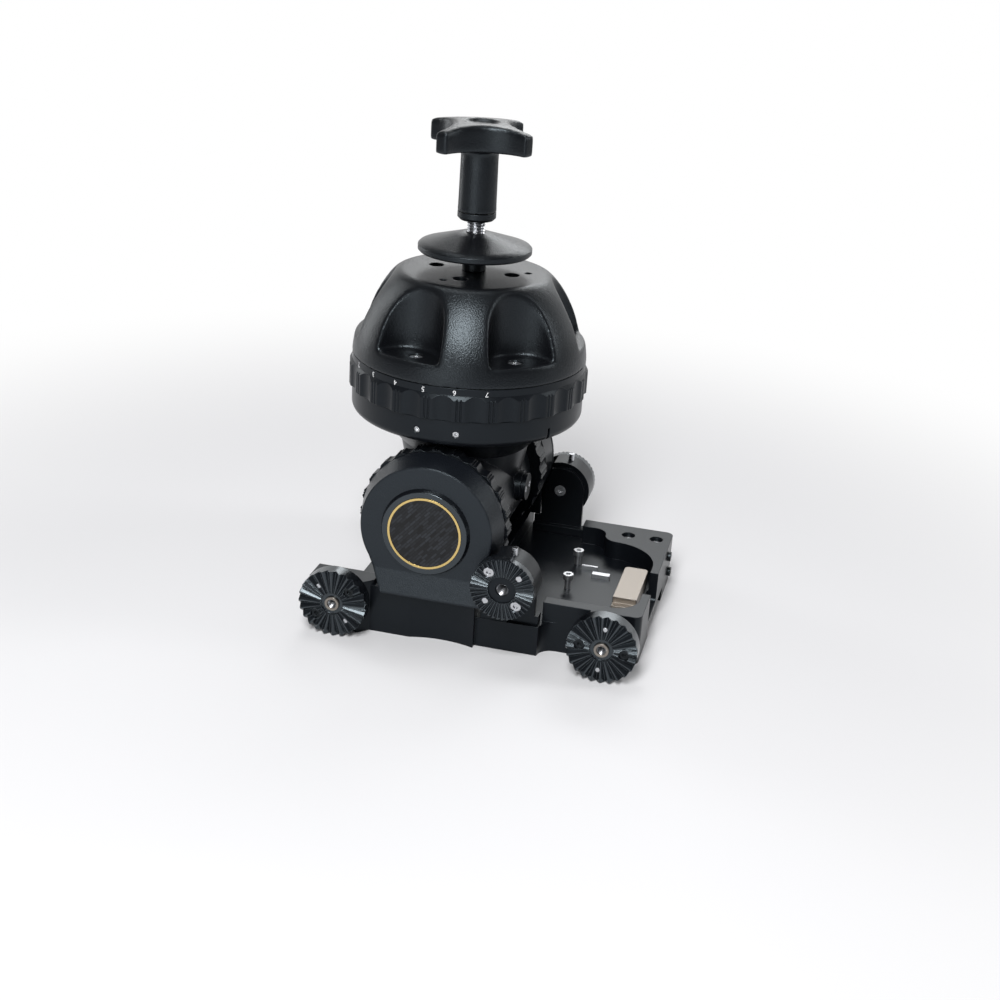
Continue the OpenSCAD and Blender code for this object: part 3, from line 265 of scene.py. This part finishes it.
class HeadStage(PropertyGroup):
    """Camera, light and floor."""

    floor: colour("Floor", "Pale studio floor", "e1e1e3")
    azimuth: angle("Azimuth", "Turn of the camera about the pan axis", 13)
    elevation: angle("Elevation", "Height of the camera above the horizon", 23.12)
    roll: angle("Roll", "Lean of the picture", 3.6)
    aim: length("Aim height", "Height of the point that the camera stands back from", 146)
    back: length("Distance", "How far the camera stands back", 969.1)
    right: length("Right", "How far the camera stands to the right of the aim", 20.64)
    below: length("Below", "How far the camera stands below the aim", 75.78)
    lens: FloatProperty(
        name="Lens", description="Focal length on the sensor", unit="CAMERA", default=54
    )
    sensor: FloatProperty(
        name="Sensor", description="Width of the sensor", unit="CAMERA", default=36
    )
    key_light: power("Key", "Tall soft box above the camera", 20)
    low_light: power("Low", "Low soft box in front", 2.5)
    left_light: power("Left", "Upright strip on the left", 4)
    right_light: power("Right", "Upright strip on the right", 4)
    top_light: power("Top", "Soft box overhead", 4)
    back_light: power("Back", "Wide soft box behind", 7)
    ambient: FloatProperty(
        name="Ambient", description="Strength of the light all round", default=0.12
    )
    clear: length("Clear floor", "Distance at which the floor still shows the shadow", 250)
    fade: length("Fade", "Distance at which the floor is plain white", 700)


def add(tree, kind, inputs=None, **settings):
    """Adds a node, with settings on the node and values or links on its inputs."""
    node = tree.nodes.new(kind)
    for name, value in settings.items():
        setattr(node, name, value)
    for name, value in (inputs or {}).items():
        if isinstance(value, NodeSocket):
            tree.links.new(value, node.inputs[name])
        else:
            node.inputs[name].default_value = value
    return node


def surface(name):
    """A new material with an empty tree, and that tree."""
    material = bpy.data.materials.new(name)
    material.use_nodes = True
    material.node_tree.nodes.clear()
    return material, material.node_tree


def close(tree, shader):
    """Links a shader to the material's output."""
    add(tree, "ShaderNodeOutputMaterial", {"Surface": shader.outputs[0]})


def grained_coat(name, finish, base, gloss, grain, edge):
    """A textured coat on a casting: a deep tone whose grains each catch a point of light.

    The grains are drawn about twice as coarse as real ones, so that they show in a render.
    """
    pebbles = {"grain": grain, "detail": 1.0, "strength": 1.0, "depth": 0.2}
    return black_coat(name, finish, base, gloss, roughness=0.3, edge=edge, **pebbles)


def smooth_coat(name, finish, base, gloss, roughness, edge):
    """A fine, even coat: soft reflections that end in a thin bright line at each edge.

    The marks of blasting under it are drawn about twice as coarse as real ones.
    """
    marks = {"grain": finish.blast_grain, "detail": 2.0, "strength": 0.25, "depth": 0.1}
    return black_coat(name, finish, base, gloss, roughness, edge, **marks)


def black_coat(name, finish, base, gloss, roughness, edge, grain, detail, strength, depth):
    """A black coat with rounded edges, over grains whose depth is a share of their size."""
    material, tree = surface(name)
    place = add(tree, "ShaderNodeTexCoord").outputs["Object"]
    grains = add(
        tree, "ShaderNodeTexNoise", {"Vector": place, "Scale": 1 / grain, "Detail": detail}
    )
    rounded = add(tree, "ShaderNodeBevel", {"Radius": edge}, samples=EDGE_SAMPLES)
    bump = add(
        tree,
        "ShaderNodeBump",
        {
            "Strength": strength,
            "Distance": depth * grain,
            "Height": grains.outputs["Fac"],
            "Normal": rounded.outputs["Normal"],
        },
    )
    shader = add(
        tree,
        "ShaderNodeBsdfPrincipled",
        {
            "Base Color": base,
            "Roughness": roughness,
            "Specular IOR Level": gloss,
            "Specular Tint": finish.cast,
            "Normal": bump.outputs["Normal"],
        },
    )
    close(tree, shader)
    return material


def metal(name, base, roughness, edge):
    """Bare or plated metal: a mirror blurred by its polish, with a bright line at each edge."""
    material, tree = surface(name)
    rounded = add(tree, "ShaderNodeBevel", {"Radius": edge}, samples=EDGE_SAMPLES)
    shader = add(
        tree,
        "ShaderNodeBsdfPrincipled",
        {
            "Base Color": base,
            "Metallic": 1.0,
            "Roughness": roughness,
            "Normal": rounded.outputs["Normal"],
        },
    )
    close(tree, shader)
    return material


def carbon_weave(finish):
    """Lacquered carbon twill: rows of slanted black tows under a thin clear gloss, with a painted
    sheen: the tows that catch the light are painted grey on black.

    The tows are about as wide as real ones, and a little longer, so that their slant shows.
    """
    material, tree = surface("lacquered_carbon_twill")
    place = add(tree, "ShaderNodeTexCoord").outputs["Object"]
    upright = add(tree, "ShaderNodeMapping", {"Vector": place, "Rotation": (math.pi / 2, 0, 0)})
    slanted = add(
        tree,
        "ShaderNodeMapping",
        {"Vector": upright.outputs["Vector"], "Rotation": (0, 0, finish.slant)},
    )
    tows = add(
        tree,
        "ShaderNodeTexBrick",
        {
            "Vector": slanted.outputs["Vector"],
            "Scale": 1.0,
            "Brick Width": finish.float_run,
            "Row Height": finish.weave,
            "Mortar Size": 0.2 * finish.weave,
            "Mortar Smooth": 1.0,
            # Painted sheen: grey painted on the tows that catch the light; the black tows and the
            # gaps are the carbon's own colour
            "Color1": finish.weave_light,
            "Color2": finish.weave_dark,
            "Mortar": finish.weave_dark,
        },
        offset=TOW_SHIFT,
    )
    shader = add(
        tree,
        "ShaderNodeBsdfPrincipled",
        {
            "Base Color": tows.outputs["Color"],
            "Roughness": 0.35,
            "Specular IOR Level": 0.1,
            "Coat Weight": 0.4,
            "Coat Roughness": 0.06,
        },
    )
    close(tree, shader)
    return material


def dress(names, material):
    """Gives CAD nodes a material and smooth shading across their soft edges."""
    for name in names:
        node = frame["nodes"][name]
        node.data.materials.clear()
        node.data.materials.append(material)
        smooth(node)


def smooth(piece, limit=SMOOTH_ANGLE):
    """Shades a piece smooth, with a hard line where faces meet at more than the limit."""
    piece.data.polygons.foreach_set("use_smooth", [True] * len(piece.data.polygons))
    weld = piece.modifiers.new("weld", "WELD")
    weld.merge_threshold = SEAM
    split = piece.modifiers.new("split", "EDGE_SPLIT")
    split.split_angle = limit


def worked(draft):
    """A new mesh from an object with its modifiers applied."""
    graph = bpy.context.evaluated_depsgraph_get()
    return bpy.data.meshes.new_from_object(draft.evaluated_get(graph))


def rebuilt(name, grid):
    """The solid of a CAD node as a new mesh on an even grid."""
    node = frame["nodes"][name]
    draft = bpy.data.objects.new("draft", node.data.copy())
    draft.matrix_world = node.matrix_world
    bpy.context.scene.collection.objects.link(draft)
    weld = draft.modifiers.new("weld", "WELD")
    weld.merge_threshold = SEAM
    even = draft.modifiers.new("even", "REMESH")
    even.mode = "VOXEL"
    even.voxel_size = grid
    mesh = worked(draft)
    mesh.transform(draft.matrix_world)
    bpy.data.objects.remove(draft)
    return mesh


def relax(mesh, passes, share):
    """Draws each vertex towards its neighbours, by a share that depends on where it is."""
    places = np.empty(3 * len(mesh.vertices))
    mesh.vertices.foreach_get("co", places)
    places = places.reshape(-1, 3)
    pairs = np.empty(2 * len(mesh.edges), dtype=int)
    mesh.edges.foreach_get("vertices", pairs)
    one, other = pairs.reshape(-1, 2).T
    count = np.bincount(pairs, minlength=len(places))[:, None]
    pull = share(places)[:, None] / 2
    for _ in range(passes):
        total = np.zeros_like(places)
        np.add.at(total, one, places[other])
        np.add.at(total, other, places[one])
        places += pull * (total / count - places)
    mesh.vertices.foreach_set("co", places.ravel())
    mesh.update()


def drill(mesh, holes):
    """Cuts upright holes into a mesh, each given by its centre, radius, floor and top."""
    bits = bmesh.new()
    for x, y, radius, floor, top in holes:
        place = Matrix.Translation((x, y, (floor + top) / 2))
        size = {"radius1": radius, "radius2": radius, "depth": top - floor}
        sides = max(DRILL_SIDES, int(radius / DRILL_SIDE))
        bmesh.ops.create_cone(bits, cap_ends=True, segments=sides, matrix=place, **size)
    cutter = bpy.data.objects.new("cutter", bpy.data.meshes.new("cutter"))
    bits.to_mesh(cutter.data)
    bits.free()
    draft = bpy.data.objects.new("draft", mesh)
    for item in (cutter, draft):
        bpy.context.scene.collection.objects.link(item)
    cut = draft.modifiers.new("cut", "BOOLEAN")
    cut.object = cutter
    cut.solver = "MANIFOLD"
    drilled = worked(draft)
    for item in (cutter, draft):
        bpy.data.objects.remove(item)
    return drilled


def welded(name):
    """The mesh of a CAD node with its seams closed."""
    work = bmesh.new()
    work.from_mesh(frame["nodes"][name].data)
    bmesh.ops.remove_doubles(work, verts=work.verts, dist=SEAM)
    mesh = bpy.data.meshes.new(name)
    work.to_mesh(mesh)
    work.free()
    return mesh


def stand_in(name, body, mesh, material, limit=SMOOTH_ANGLE):
    """Puts a worked mesh in the place of its CAD node."""
    mesh.materials.clear()
    mesh.materials.append(material)
    piece = bpy.data.objects.new(name + "_worked", mesh)
    bpy.context.scene.collection.objects.link(piece)
    smooth(piece, limit)
    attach(piece, body)
    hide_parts(name)


def flat_ring(radius, height):
    """A ring of points at one radius and height."""
    return [(radius, height)] * COLUMNS


def thread_rings(radius, depth, pitch, start, end):
    """Rings of points along a helical thread, between a radius and a depth inside it."""
    rings = []
    for z in np.linspace(start, end, int((end - start) / pitch * RINGS) + 1):
        phases = [(z / pitch - i / COLUMNS) % 1 for i in range(COLUMNS)]
        rings.append([(radius - depth * abs(2 * phase - 1), z) for phase in phases])
    return rings


def lathed(name, rings, material):
    """A piece whose skin runs through rings of points about the Z axis."""
    turns = [2 * math.pi * i / COLUMNS for i in range(COLUMNS)]
    vertices = [
        (radius * math.cos(turn), radius * math.sin(turn), z)
        for ring in rings
        for turn, (radius, z) in zip(turns, ring)
    ]
    faces = []
    for here in range(0, len(vertices) - COLUMNS, COLUMNS):
        for i in range(COLUMNS):
            j = (i + 1) % COLUMNS
            faces.append((here + i, here + j, here + COLUMNS + j, here + COLUMNS + i))
    return mesh_piece(name, vertices, faces, material)


def mesh_piece(name, vertices, faces, material):
    """A new mesh object in the scene."""
    mesh = bpy.data.meshes.new(name)
    mesh.from_pydata(vertices, [], faces)
    mesh.materials.append(material)
    mesh.update()
    piece = bpy.data.objects.new(name, mesh)
    bpy.context.scene.collection.objects.link(piece)
    return piece


class HEAD_OT_castings(Operator):
    """Coat the half ball, the tie down and the levers, and round the castings' edges"""

    bl_idname = "head.castings"
    bl_label = "Castings"

    def execute(self, context):
        detail = context.scene.head_detail
        finish = context.scene.head_finish
        # A hard black skin with a fine pebble, which breaks a highlight into points
        coat = grained_coat(
            "powder_coat_on_cast_aluminium",
            finish,
            finish.coat,
            gloss=0.45,
            grain=finish.coat_grain,
            edge=finish.edge,
        )
        dress(COATED, coat)
        self.cast_ball(detail, coat)
        self.cast_knob(detail, coat)
        return {"FINISHED"}

    def cast_ball(self, detail, coat):
        """Soft edges round the pockets, and holes with a crisp edge."""
        low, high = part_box("half_ball")

        def share(places):
            outside = np.hypot(places[:, 0], places[:, 1]) / MM - BALL_FLAT
            above = (places[:, 2] - low.z) / MM - BALL_RIM
            return np.clip(outside / BALL_WAY, 0, 1) * np.clip(above / BALL_WAY, 0, 1)

        mesh = rebuilt("half_ball", detail.grid)
        relax(mesh, detail.relax, share)
        holes = []
        for pitch, count, first, radius, floor in BALL_HOLES:
            for step in range(count):
                turn = math.radians(first + 360 * step / count)
                x, y = pitch * MM * math.cos(turn), pitch * MM * math.sin(turn)
                holes.append((x, y, radius * MM, high.z - floor * MM, high.z + detail.grid))
        stand_in("half_ball", "ball", drill(mesh, holes), coat)

    def cast_knob(self, detail, coat):
        """Round edges for the hand on the knob's cross."""
        low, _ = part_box("tie_down_knob")

        def share(places):
            above = (places[:, 2] - low.z) / MM - SLEEVE_END
            return np.clip(above / SLEEVE_WAY, 0, 1)

        mesh = rebuilt("tie_down_knob", detail.grid)
        relax(mesh, detail.relax, share)
        stand_in("tie_down_knob", "tie_down_knob", mesh, coat)


class HEAD_OT_cheeks(Operator):
    """Paint the cheeks, and set their feet out to the full flare"""

    bl_idname = "head.cheeks"
    bl_label = "Cheeks"

    def execute(self, context):
        finish = context.scene.head_finish
        detail = context.scene.head_detail
        # A dark grey paint, a shade lighter than the coat, that shows a faint speckle
        paint = grained_coat(
            "textured_paint_on_cast_aluminium",
            finish,
            finish.paint,
            gloss=0.45,
            grain=finish.paint_grain,
            edge=finish.cheek_edge,
        )
        for name, side in (("near_cheek", -1), ("far_cheek", 1)):
            low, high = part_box(name)
            toe = max(side * low.y, side * high.y)
            mesh = welded(name)
            for vertex in mesh.vertices:
                if side * vertex.co.y > toe - TOE_REACH:
                    vertex.co.y += side * detail.flare
            stand_in(name, "platform", mesh, paint, FOLD_ANGLE)
        return {"FINISHED"}


class HEAD_OT_machined(Operator):
    """Anodise the machined pieces and the rosettes, and mill the platform's sides"""

    bl_idname = "head.machined"
    bl_label = "Machined pieces"

    def execute(self, context):
        finish = context.scene.head_finish
        # A dyed skin on a finely blasted face: deep and even, with a soft sheen
        black = smooth_coat(
            "black_anodised_aluminium",
            finish,
            finish.anodised,
            gloss=0.27,
            roughness=0.32,
            edge=finish.edge,
        )
        dress(ANODISED, black)
        self.mill_platform(context.scene.head_detail, black)
        # The same black over a bright dip, so that teeth and rims throw a sharp light back
        bright = smooth_coat(
            "bright_dipped_black_anodising",
            finish,
            finish.anodised,
            gloss=0.95,
            roughness=0.2,
            edge=finish.edge,
        )
        dress(BRIGHT_DIPPED, bright)
        return {"FINISHED"}

    def mill_platform(self, detail, black):
        """A shallow hollow in each side of the platform, below the cheeks."""
        low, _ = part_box("near_cheek")
        half, depth = detail.hollow_width / 2, detail.hollow_depth
        radius = (half * half + depth * depth) / (2 * depth)
        x, y = detail.hollow_end - half, detail.side - depth + radius
        hollows = [(x, side * y, radius, -MM, low.z) for side in (-1, 1)]
        mesh = drill(welded("platform"), hollows)
        stand_in("platform", "platform", mesh, black)


class HEAD_OT_metalware(Operator):
    """Finish the screws, the bearings, the latch and the inserts"""

    bl_idname = "head.metalware"
    bl_label = "Metalware"

    def execute(self, context):
        finish = context.scene.head_finish
        edge, fine = finish.edge, finish.edge / 2
        # Oiled black steel, with a sheen that is softer than bare steel's
        oxide = smooth_coat(
            "black_oxide_steel", finish, finish.oxide, gloss=0.35, roughness=0.3, edge=fine
        )
        # A pale plate, a little cloudy
        zinc = metal("zinc_plated_steel", finish.zinc, roughness=0.42, edge=fine)
        # Clean cut steel, with clear reflections
        steel = metal("turned_bright_steel", finish.steel, roughness=0.24, edge=fine)
        # Bare cut aluminium, paler than steel and with softer reflections
        aluminium = metal("machined_aluminium", finish.aluminium, roughness=0.34, edge=edge)
        # A warm grey plate with a satin face
        nickel = metal("satin_nickel_plate", finish.nickel, roughness=0.4, edge=edge)
        # Cut brass, yellow and clear
        brass = metal("machined_brass", finish.brass, roughness=0.28, edge=fine)
        dress(BLACK_STEEL, oxide)
        dress(ZINCED, zinc)
        dress(BRIGHT_STEEL, steel)
        dress(BARE_ALUMINIUM, aluminium)
        dress(NICKELLED, nickel)
        dress(BRASS, brass)
        return {"FINISHED"}


class HEAD_OT_stud(Operator):
    """Cut the thread on the tie down's stud"""

    bl_idname = "head.stud"
    bl_label = "Threaded stud"

    def execute(self, context):
        detail = context.scene.head_detail
        finish = context.scene.head_finish
        low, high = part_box("tie_down_stud")
        neck = low.z + detail.stud_head
        rings = [flat_ring(0, low.z), flat_ring(high.x, low.z), flat_ring(high.x, neck)]
        rings += thread_rings(detail.stud, detail.thread, detail.pitch, neck, high.z)
        rings.append(flat_ring(0, high.z))
        # Rolled flanks, which glint as a row of lines
        crest = finish.edge / 5
        material = metal("rolled_thread_steel", finish.steel, roughness=0.2, edge=crest)
        piece = lathed("tie_down_threaded_stud", rings, material)
        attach(piece, "ball")
        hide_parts("tie_down_stud")
        return {"FINISHED"}


class HEAD_OT_taps(Operator):
    """Line the tapped holes for handles and accessories with their threads"""

    bl_idname = "head.taps"
    bl_label = "Tapped holes"

    def execute(self, context):
        detail = context.scene.head_detail
        finish = context.scene.head_finish
        # Cut flanks, duller than rolled ones
        crest = finish.edge / 5
        material = metal("tapped_steel_insert", finish.steel, roughness=0.3, edge=crest)
        for mount in frame["record"]["mounts"]:
            if mount["kind"] != "threaded_hole":
                continue
            radius, depth = mount["dims"]["r_mm"] * MM, mount["dims"]["length_mm"] * MM
            pitch = detail.tap_share * radius
            rings = thread_rings(TAP_OUTER * radius, pitch / 2, pitch, -depth, -pitch / 2)
            piece = lathed(mount["name"] + "_thread", rings, material)
            turn = Vector((0, 0, 1)).rotation_difference(Vector(mount["axis"]))
            piece.matrix_world = Matrix.Translation(mount["pos_m"]) @ turn.to_matrix().to_4x4()
            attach(piece, "platform")
        return {"FINISHED"}


class HEAD_OT_badge(Operator):
    """Gild the badge's ring and lacquer its bare disc"""

    bl_idname = "head.badge"
    bl_label = "Badge"

    def execute(self, context):
        finish = context.scene.head_finish
        # Thin gilding, warm and nearly polished
        gilt = metal("gilt_brass", finish.gold, roughness=0.22, edge=finish.edge / 5)
        dress(("badge_ring",), gilt)
        dress(("badge_disc",), carbon_weave(finish))
        return {"FINISHED"}


class HEAD_OT_dial(Operator):
    """Print the numbers on the band of the pan drag ring"""

    bl_idname = "head.dial"
    bl_label = "Dial numbers"

    def execute(self, context):
        finish = context.scene.head_finish
        detail = context.scene.head_detail
        # Flat opaque ink, a little off white
        material, tree = surface("white_screen_ink")
        shader = add(
            tree, "ShaderNodeBsdfPrincipled", {"Base Color": finish.ink, "Roughness": 0.5}
        )
        close(tree, shader)
        _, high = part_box("pan_drag_ring")
        middle = Vector((detail.band, 0, high.z - detail.digit_drop))
        lean = Matrix.Rotation(math.pi / 2, 4, "Y")
        face = Matrix.Rotation(-math.pi / 2, 4, "Z")
        for number in range(detail.digit_count):
            text = bpy.data.curves.new(f"dial_number_{number}", "FONT")
            text.body = str(number)
            text.size = detail.digit / CAP_HEIGHT
            text.extrude = detail.relief
            text.align_x = "CENTER"
            text.align_y = "CENTER"
            piece = bpy.data.objects.new(f"dial_number_{number}", text)
            text.materials.append(material)
            bpy.context.scene.collection.objects.link(piece)
            steps = detail.digit_count - 1 - number
            turn = Matrix.Rotation(detail.digit_turn - steps * detail.digit_step, 4, "Z")
            piece.matrix_world = turn @ Matrix.Translation(middle) @ lean @ face
            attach(piece, "pan_drag_ring")
        return {"FINISHED"}


class HEAD_OT_stage(Operator):
    """Set the floor, the lights, the surroundings and the camera"""

    bl_idname = "head.stage"
    bl_label = "Stage"

    def execute(self, context):
        scene = context.scene
        stage = scene.head_stage
        scene.view_settings.view_transform = "Standard"
        self.lay_floor(stage)
        self.stand_backdrop()
        for name, size, place in LIGHTS:
            self.hang_light(name, getattr(stage, name + "_light"), size, place)
        self.surround(scene, stage)
        self.set_camera(scene, stage)
        return {"FINISHED"}

    def lay_floor(self, stage):
        """Studio paper that takes the object's shadow and runs out to plain white."""
        material, tree = surface("matt_studio_paper")
        place = add(tree, "ShaderNodeTexCoord").outputs["Object"]
        away = add(tree, "ShaderNodeVectorMath", {0: place}, operation="LENGTH")
        faded = add(
            tree,
            "ShaderNodeMapRange",
            {"Value": away.outputs["Value"], "From Min": stage.clear, "From Max": stage.fade},
            interpolation_type="SMOOTHSTEP",
        )
        seen = add(tree, "ShaderNodeLightPath").outputs["Is Camera Ray"]
        share = add(
            tree, "ShaderNodeMath", {0: faded.outputs["Result"], 1: seen}, operation="MULTIPLY"
        )
        paper = add(tree, "ShaderNodeBsdfDiffuse", {"Color": stage.floor})
        white = add(tree, "ShaderNodeEmission", {"Color": WHITE, "Strength": 1.0})
        mixed = add(
            tree,
            "ShaderNodeMixShader",
            {0: share.outputs[0], 1: paper.outputs[0], 2: white.outputs[0]},
        )
        close(tree, mixed)
        half = FLOOR_HALF
        corners = [(-half, -half, 0), (half, -half, 0), (half, half, 0), (-half, half, 0)]
        mesh_piece("floor", corners, [(0, 1, 2, 3)], material)

    def stand_backdrop(self):
        """A white wall behind the object, for the picture and for reflections."""
        material, tree = surface("lit_white_wall")
        # Left out of the light sampling, so that a reflection shows the wall at its full strength
        material.cycles.emission_sampling = "NONE"
        path = add(tree, "ShaderNodeLightPath")
        either = {0: path.outputs["Is Camera Ray"], 1: path.outputs["Is Glossy Ray"]}
        shown = add(tree, "ShaderNodeMath", either, operation="MAXIMUM")
        white = add(tree, "ShaderNodeEmission", {"Color": WHITE, "Strength": shown.outputs[0]})
        close(tree, white)
        left, right, away, top = -FLOOR_HALF, FLOOR_HALF, WALL_AWAY, WALL_HEIGHT
        corners = [(left, away, 0), (right, away, 0), (right, away, top), (left, away, top)]
        mesh_piece("backdrop", corners, [(0, 1, 2, 3)], material)

    def hang_light(self, name, watts, size, place):
        """A soft box that faces the object."""
        light = bpy.data.lights.new(name, "AREA")
        light.energy = watts
        light.shape = "RECTANGLE"
        light.size, light.size_y = size
        lamp = bpy.data.objects.new(name, light)
        lamp.location = place
        aim = Vector(LIT_POINT) - lamp.location
        lamp.rotation_euler = aim.to_track_quat("-Z", "Y").to_euler()
        bpy.context.scene.collection.objects.link(lamp)

    def surround(self, scene, stage):
        """White to the camera, and a faint light on everything else."""
        world = bpy.data.worlds.new("studio")
        world.use_nodes = True
        tree = world.node_tree
        tree.nodes.clear()
        seen = add(tree, "ShaderNodeLightPath").outputs["Is Camera Ray"]
        strength = add(
            tree,
            "ShaderNodeMapRange",
            {"Value": seen, "To Min": stage.ambient, "To Max": 1.0},
        )
        background = add(
            tree,
            "ShaderNodeBackground",
            {"Color": WHITE, "Strength": strength.outputs["Result"]},
        )
        add(tree, "ShaderNodeOutputWorld", {"Surface": background.outputs[0]})
        scene.world = world

    def set_camera(self, scene, stage):
        """The camera stands where the picture was taken from."""
        ahead = Vector((-math.sin(stage.azimuth), math.cos(stage.azimuth), 0))
        level = Vector((math.cos(stage.azimuth), math.sin(stage.azimuth), 0))
        rise, reach = math.sin(stage.elevation), math.cos(stage.elevation)
        view = ahead * reach - Vector((0, 0, rise))
        upright = ahead * rise + Vector((0, 0, reach))
        lean, keep = math.sin(stage.roll), math.cos(stage.roll)
        right = level * keep + upright * lean
        up = upright * keep - level * lean
        place = (
            Vector((0, 0, stage.aim)) + right * stage.right - up * stage.below - view * stage.back
        )
        lens = bpy.data.cameras.new("camera")
        lens.lens = stage.lens
        lens.sensor_width = stage.sensor
        camera = bpy.data.objects.new("camera", lens)
        turn = Matrix((right, up, -view)).transposed().to_4x4()
        camera.matrix_world = Matrix.Translation(place) @ turn
        scene.collection.objects.link(camera)
        scene.camera = camera


class HEAD_PT_panel(Panel):
    """Lists the steps that dress the head"""

    bl_idname = "HEAD_PT_panel"
    bl_label = "Fluid Video Head"
    bl_space_type = "VIEW_3D"
    bl_region_type = "UI"
    bl_category = "Video Head"

    def draw(self, context):
        for step in STEPS:
            self.layout.operator(step.bl_idname)


STEPS = (
    HEAD_OT_castings,
    HEAD_OT_cheeks,
    HEAD_OT_machined,
    HEAD_OT_metalware,
    HEAD_OT_stud,
    HEAD_OT_taps,
    HEAD_OT_badge,
    HEAD_OT_dial,
    HEAD_OT_stage,
)
CLASSES = (HeadFinish, HeadDetail, HeadStage) + STEPS + (HEAD_PT_panel,)


def register():
    """Registers the classes and hangs their settings on the scene."""
    for item in CLASSES:
        bpy.utils.register_class(item)
    bpy.types.Scene.head_finish = PointerProperty(type=HeadFinish)
    bpy.types.Scene.head_detail = PointerProperty(type=HeadDetail)
    bpy.types.Scene.head_stage = PointerProperty(type=HeadStage)


def unregister():
    """Takes back what register did."""
    del bpy.types.Scene.head_stage
    del bpy.types.Scene.head_detail
    del bpy.types.Scene.head_finish
    for item in reversed(CLASSES):
        bpy.utils.unregister_class(item)


def main():
    """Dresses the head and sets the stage."""
    register()
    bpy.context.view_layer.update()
    bpy.ops.head.castings()
    bpy.ops.head.cheeks()
    bpy.ops.head.machined()
    bpy.ops.head.metalware()
    bpy.ops.head.stud()
    bpy.ops.head.taps()
    bpy.ops.head.badge()
    bpy.ops.head.dial()
    bpy.ops.head.stage()


if __name__ == "__main__":
    main()
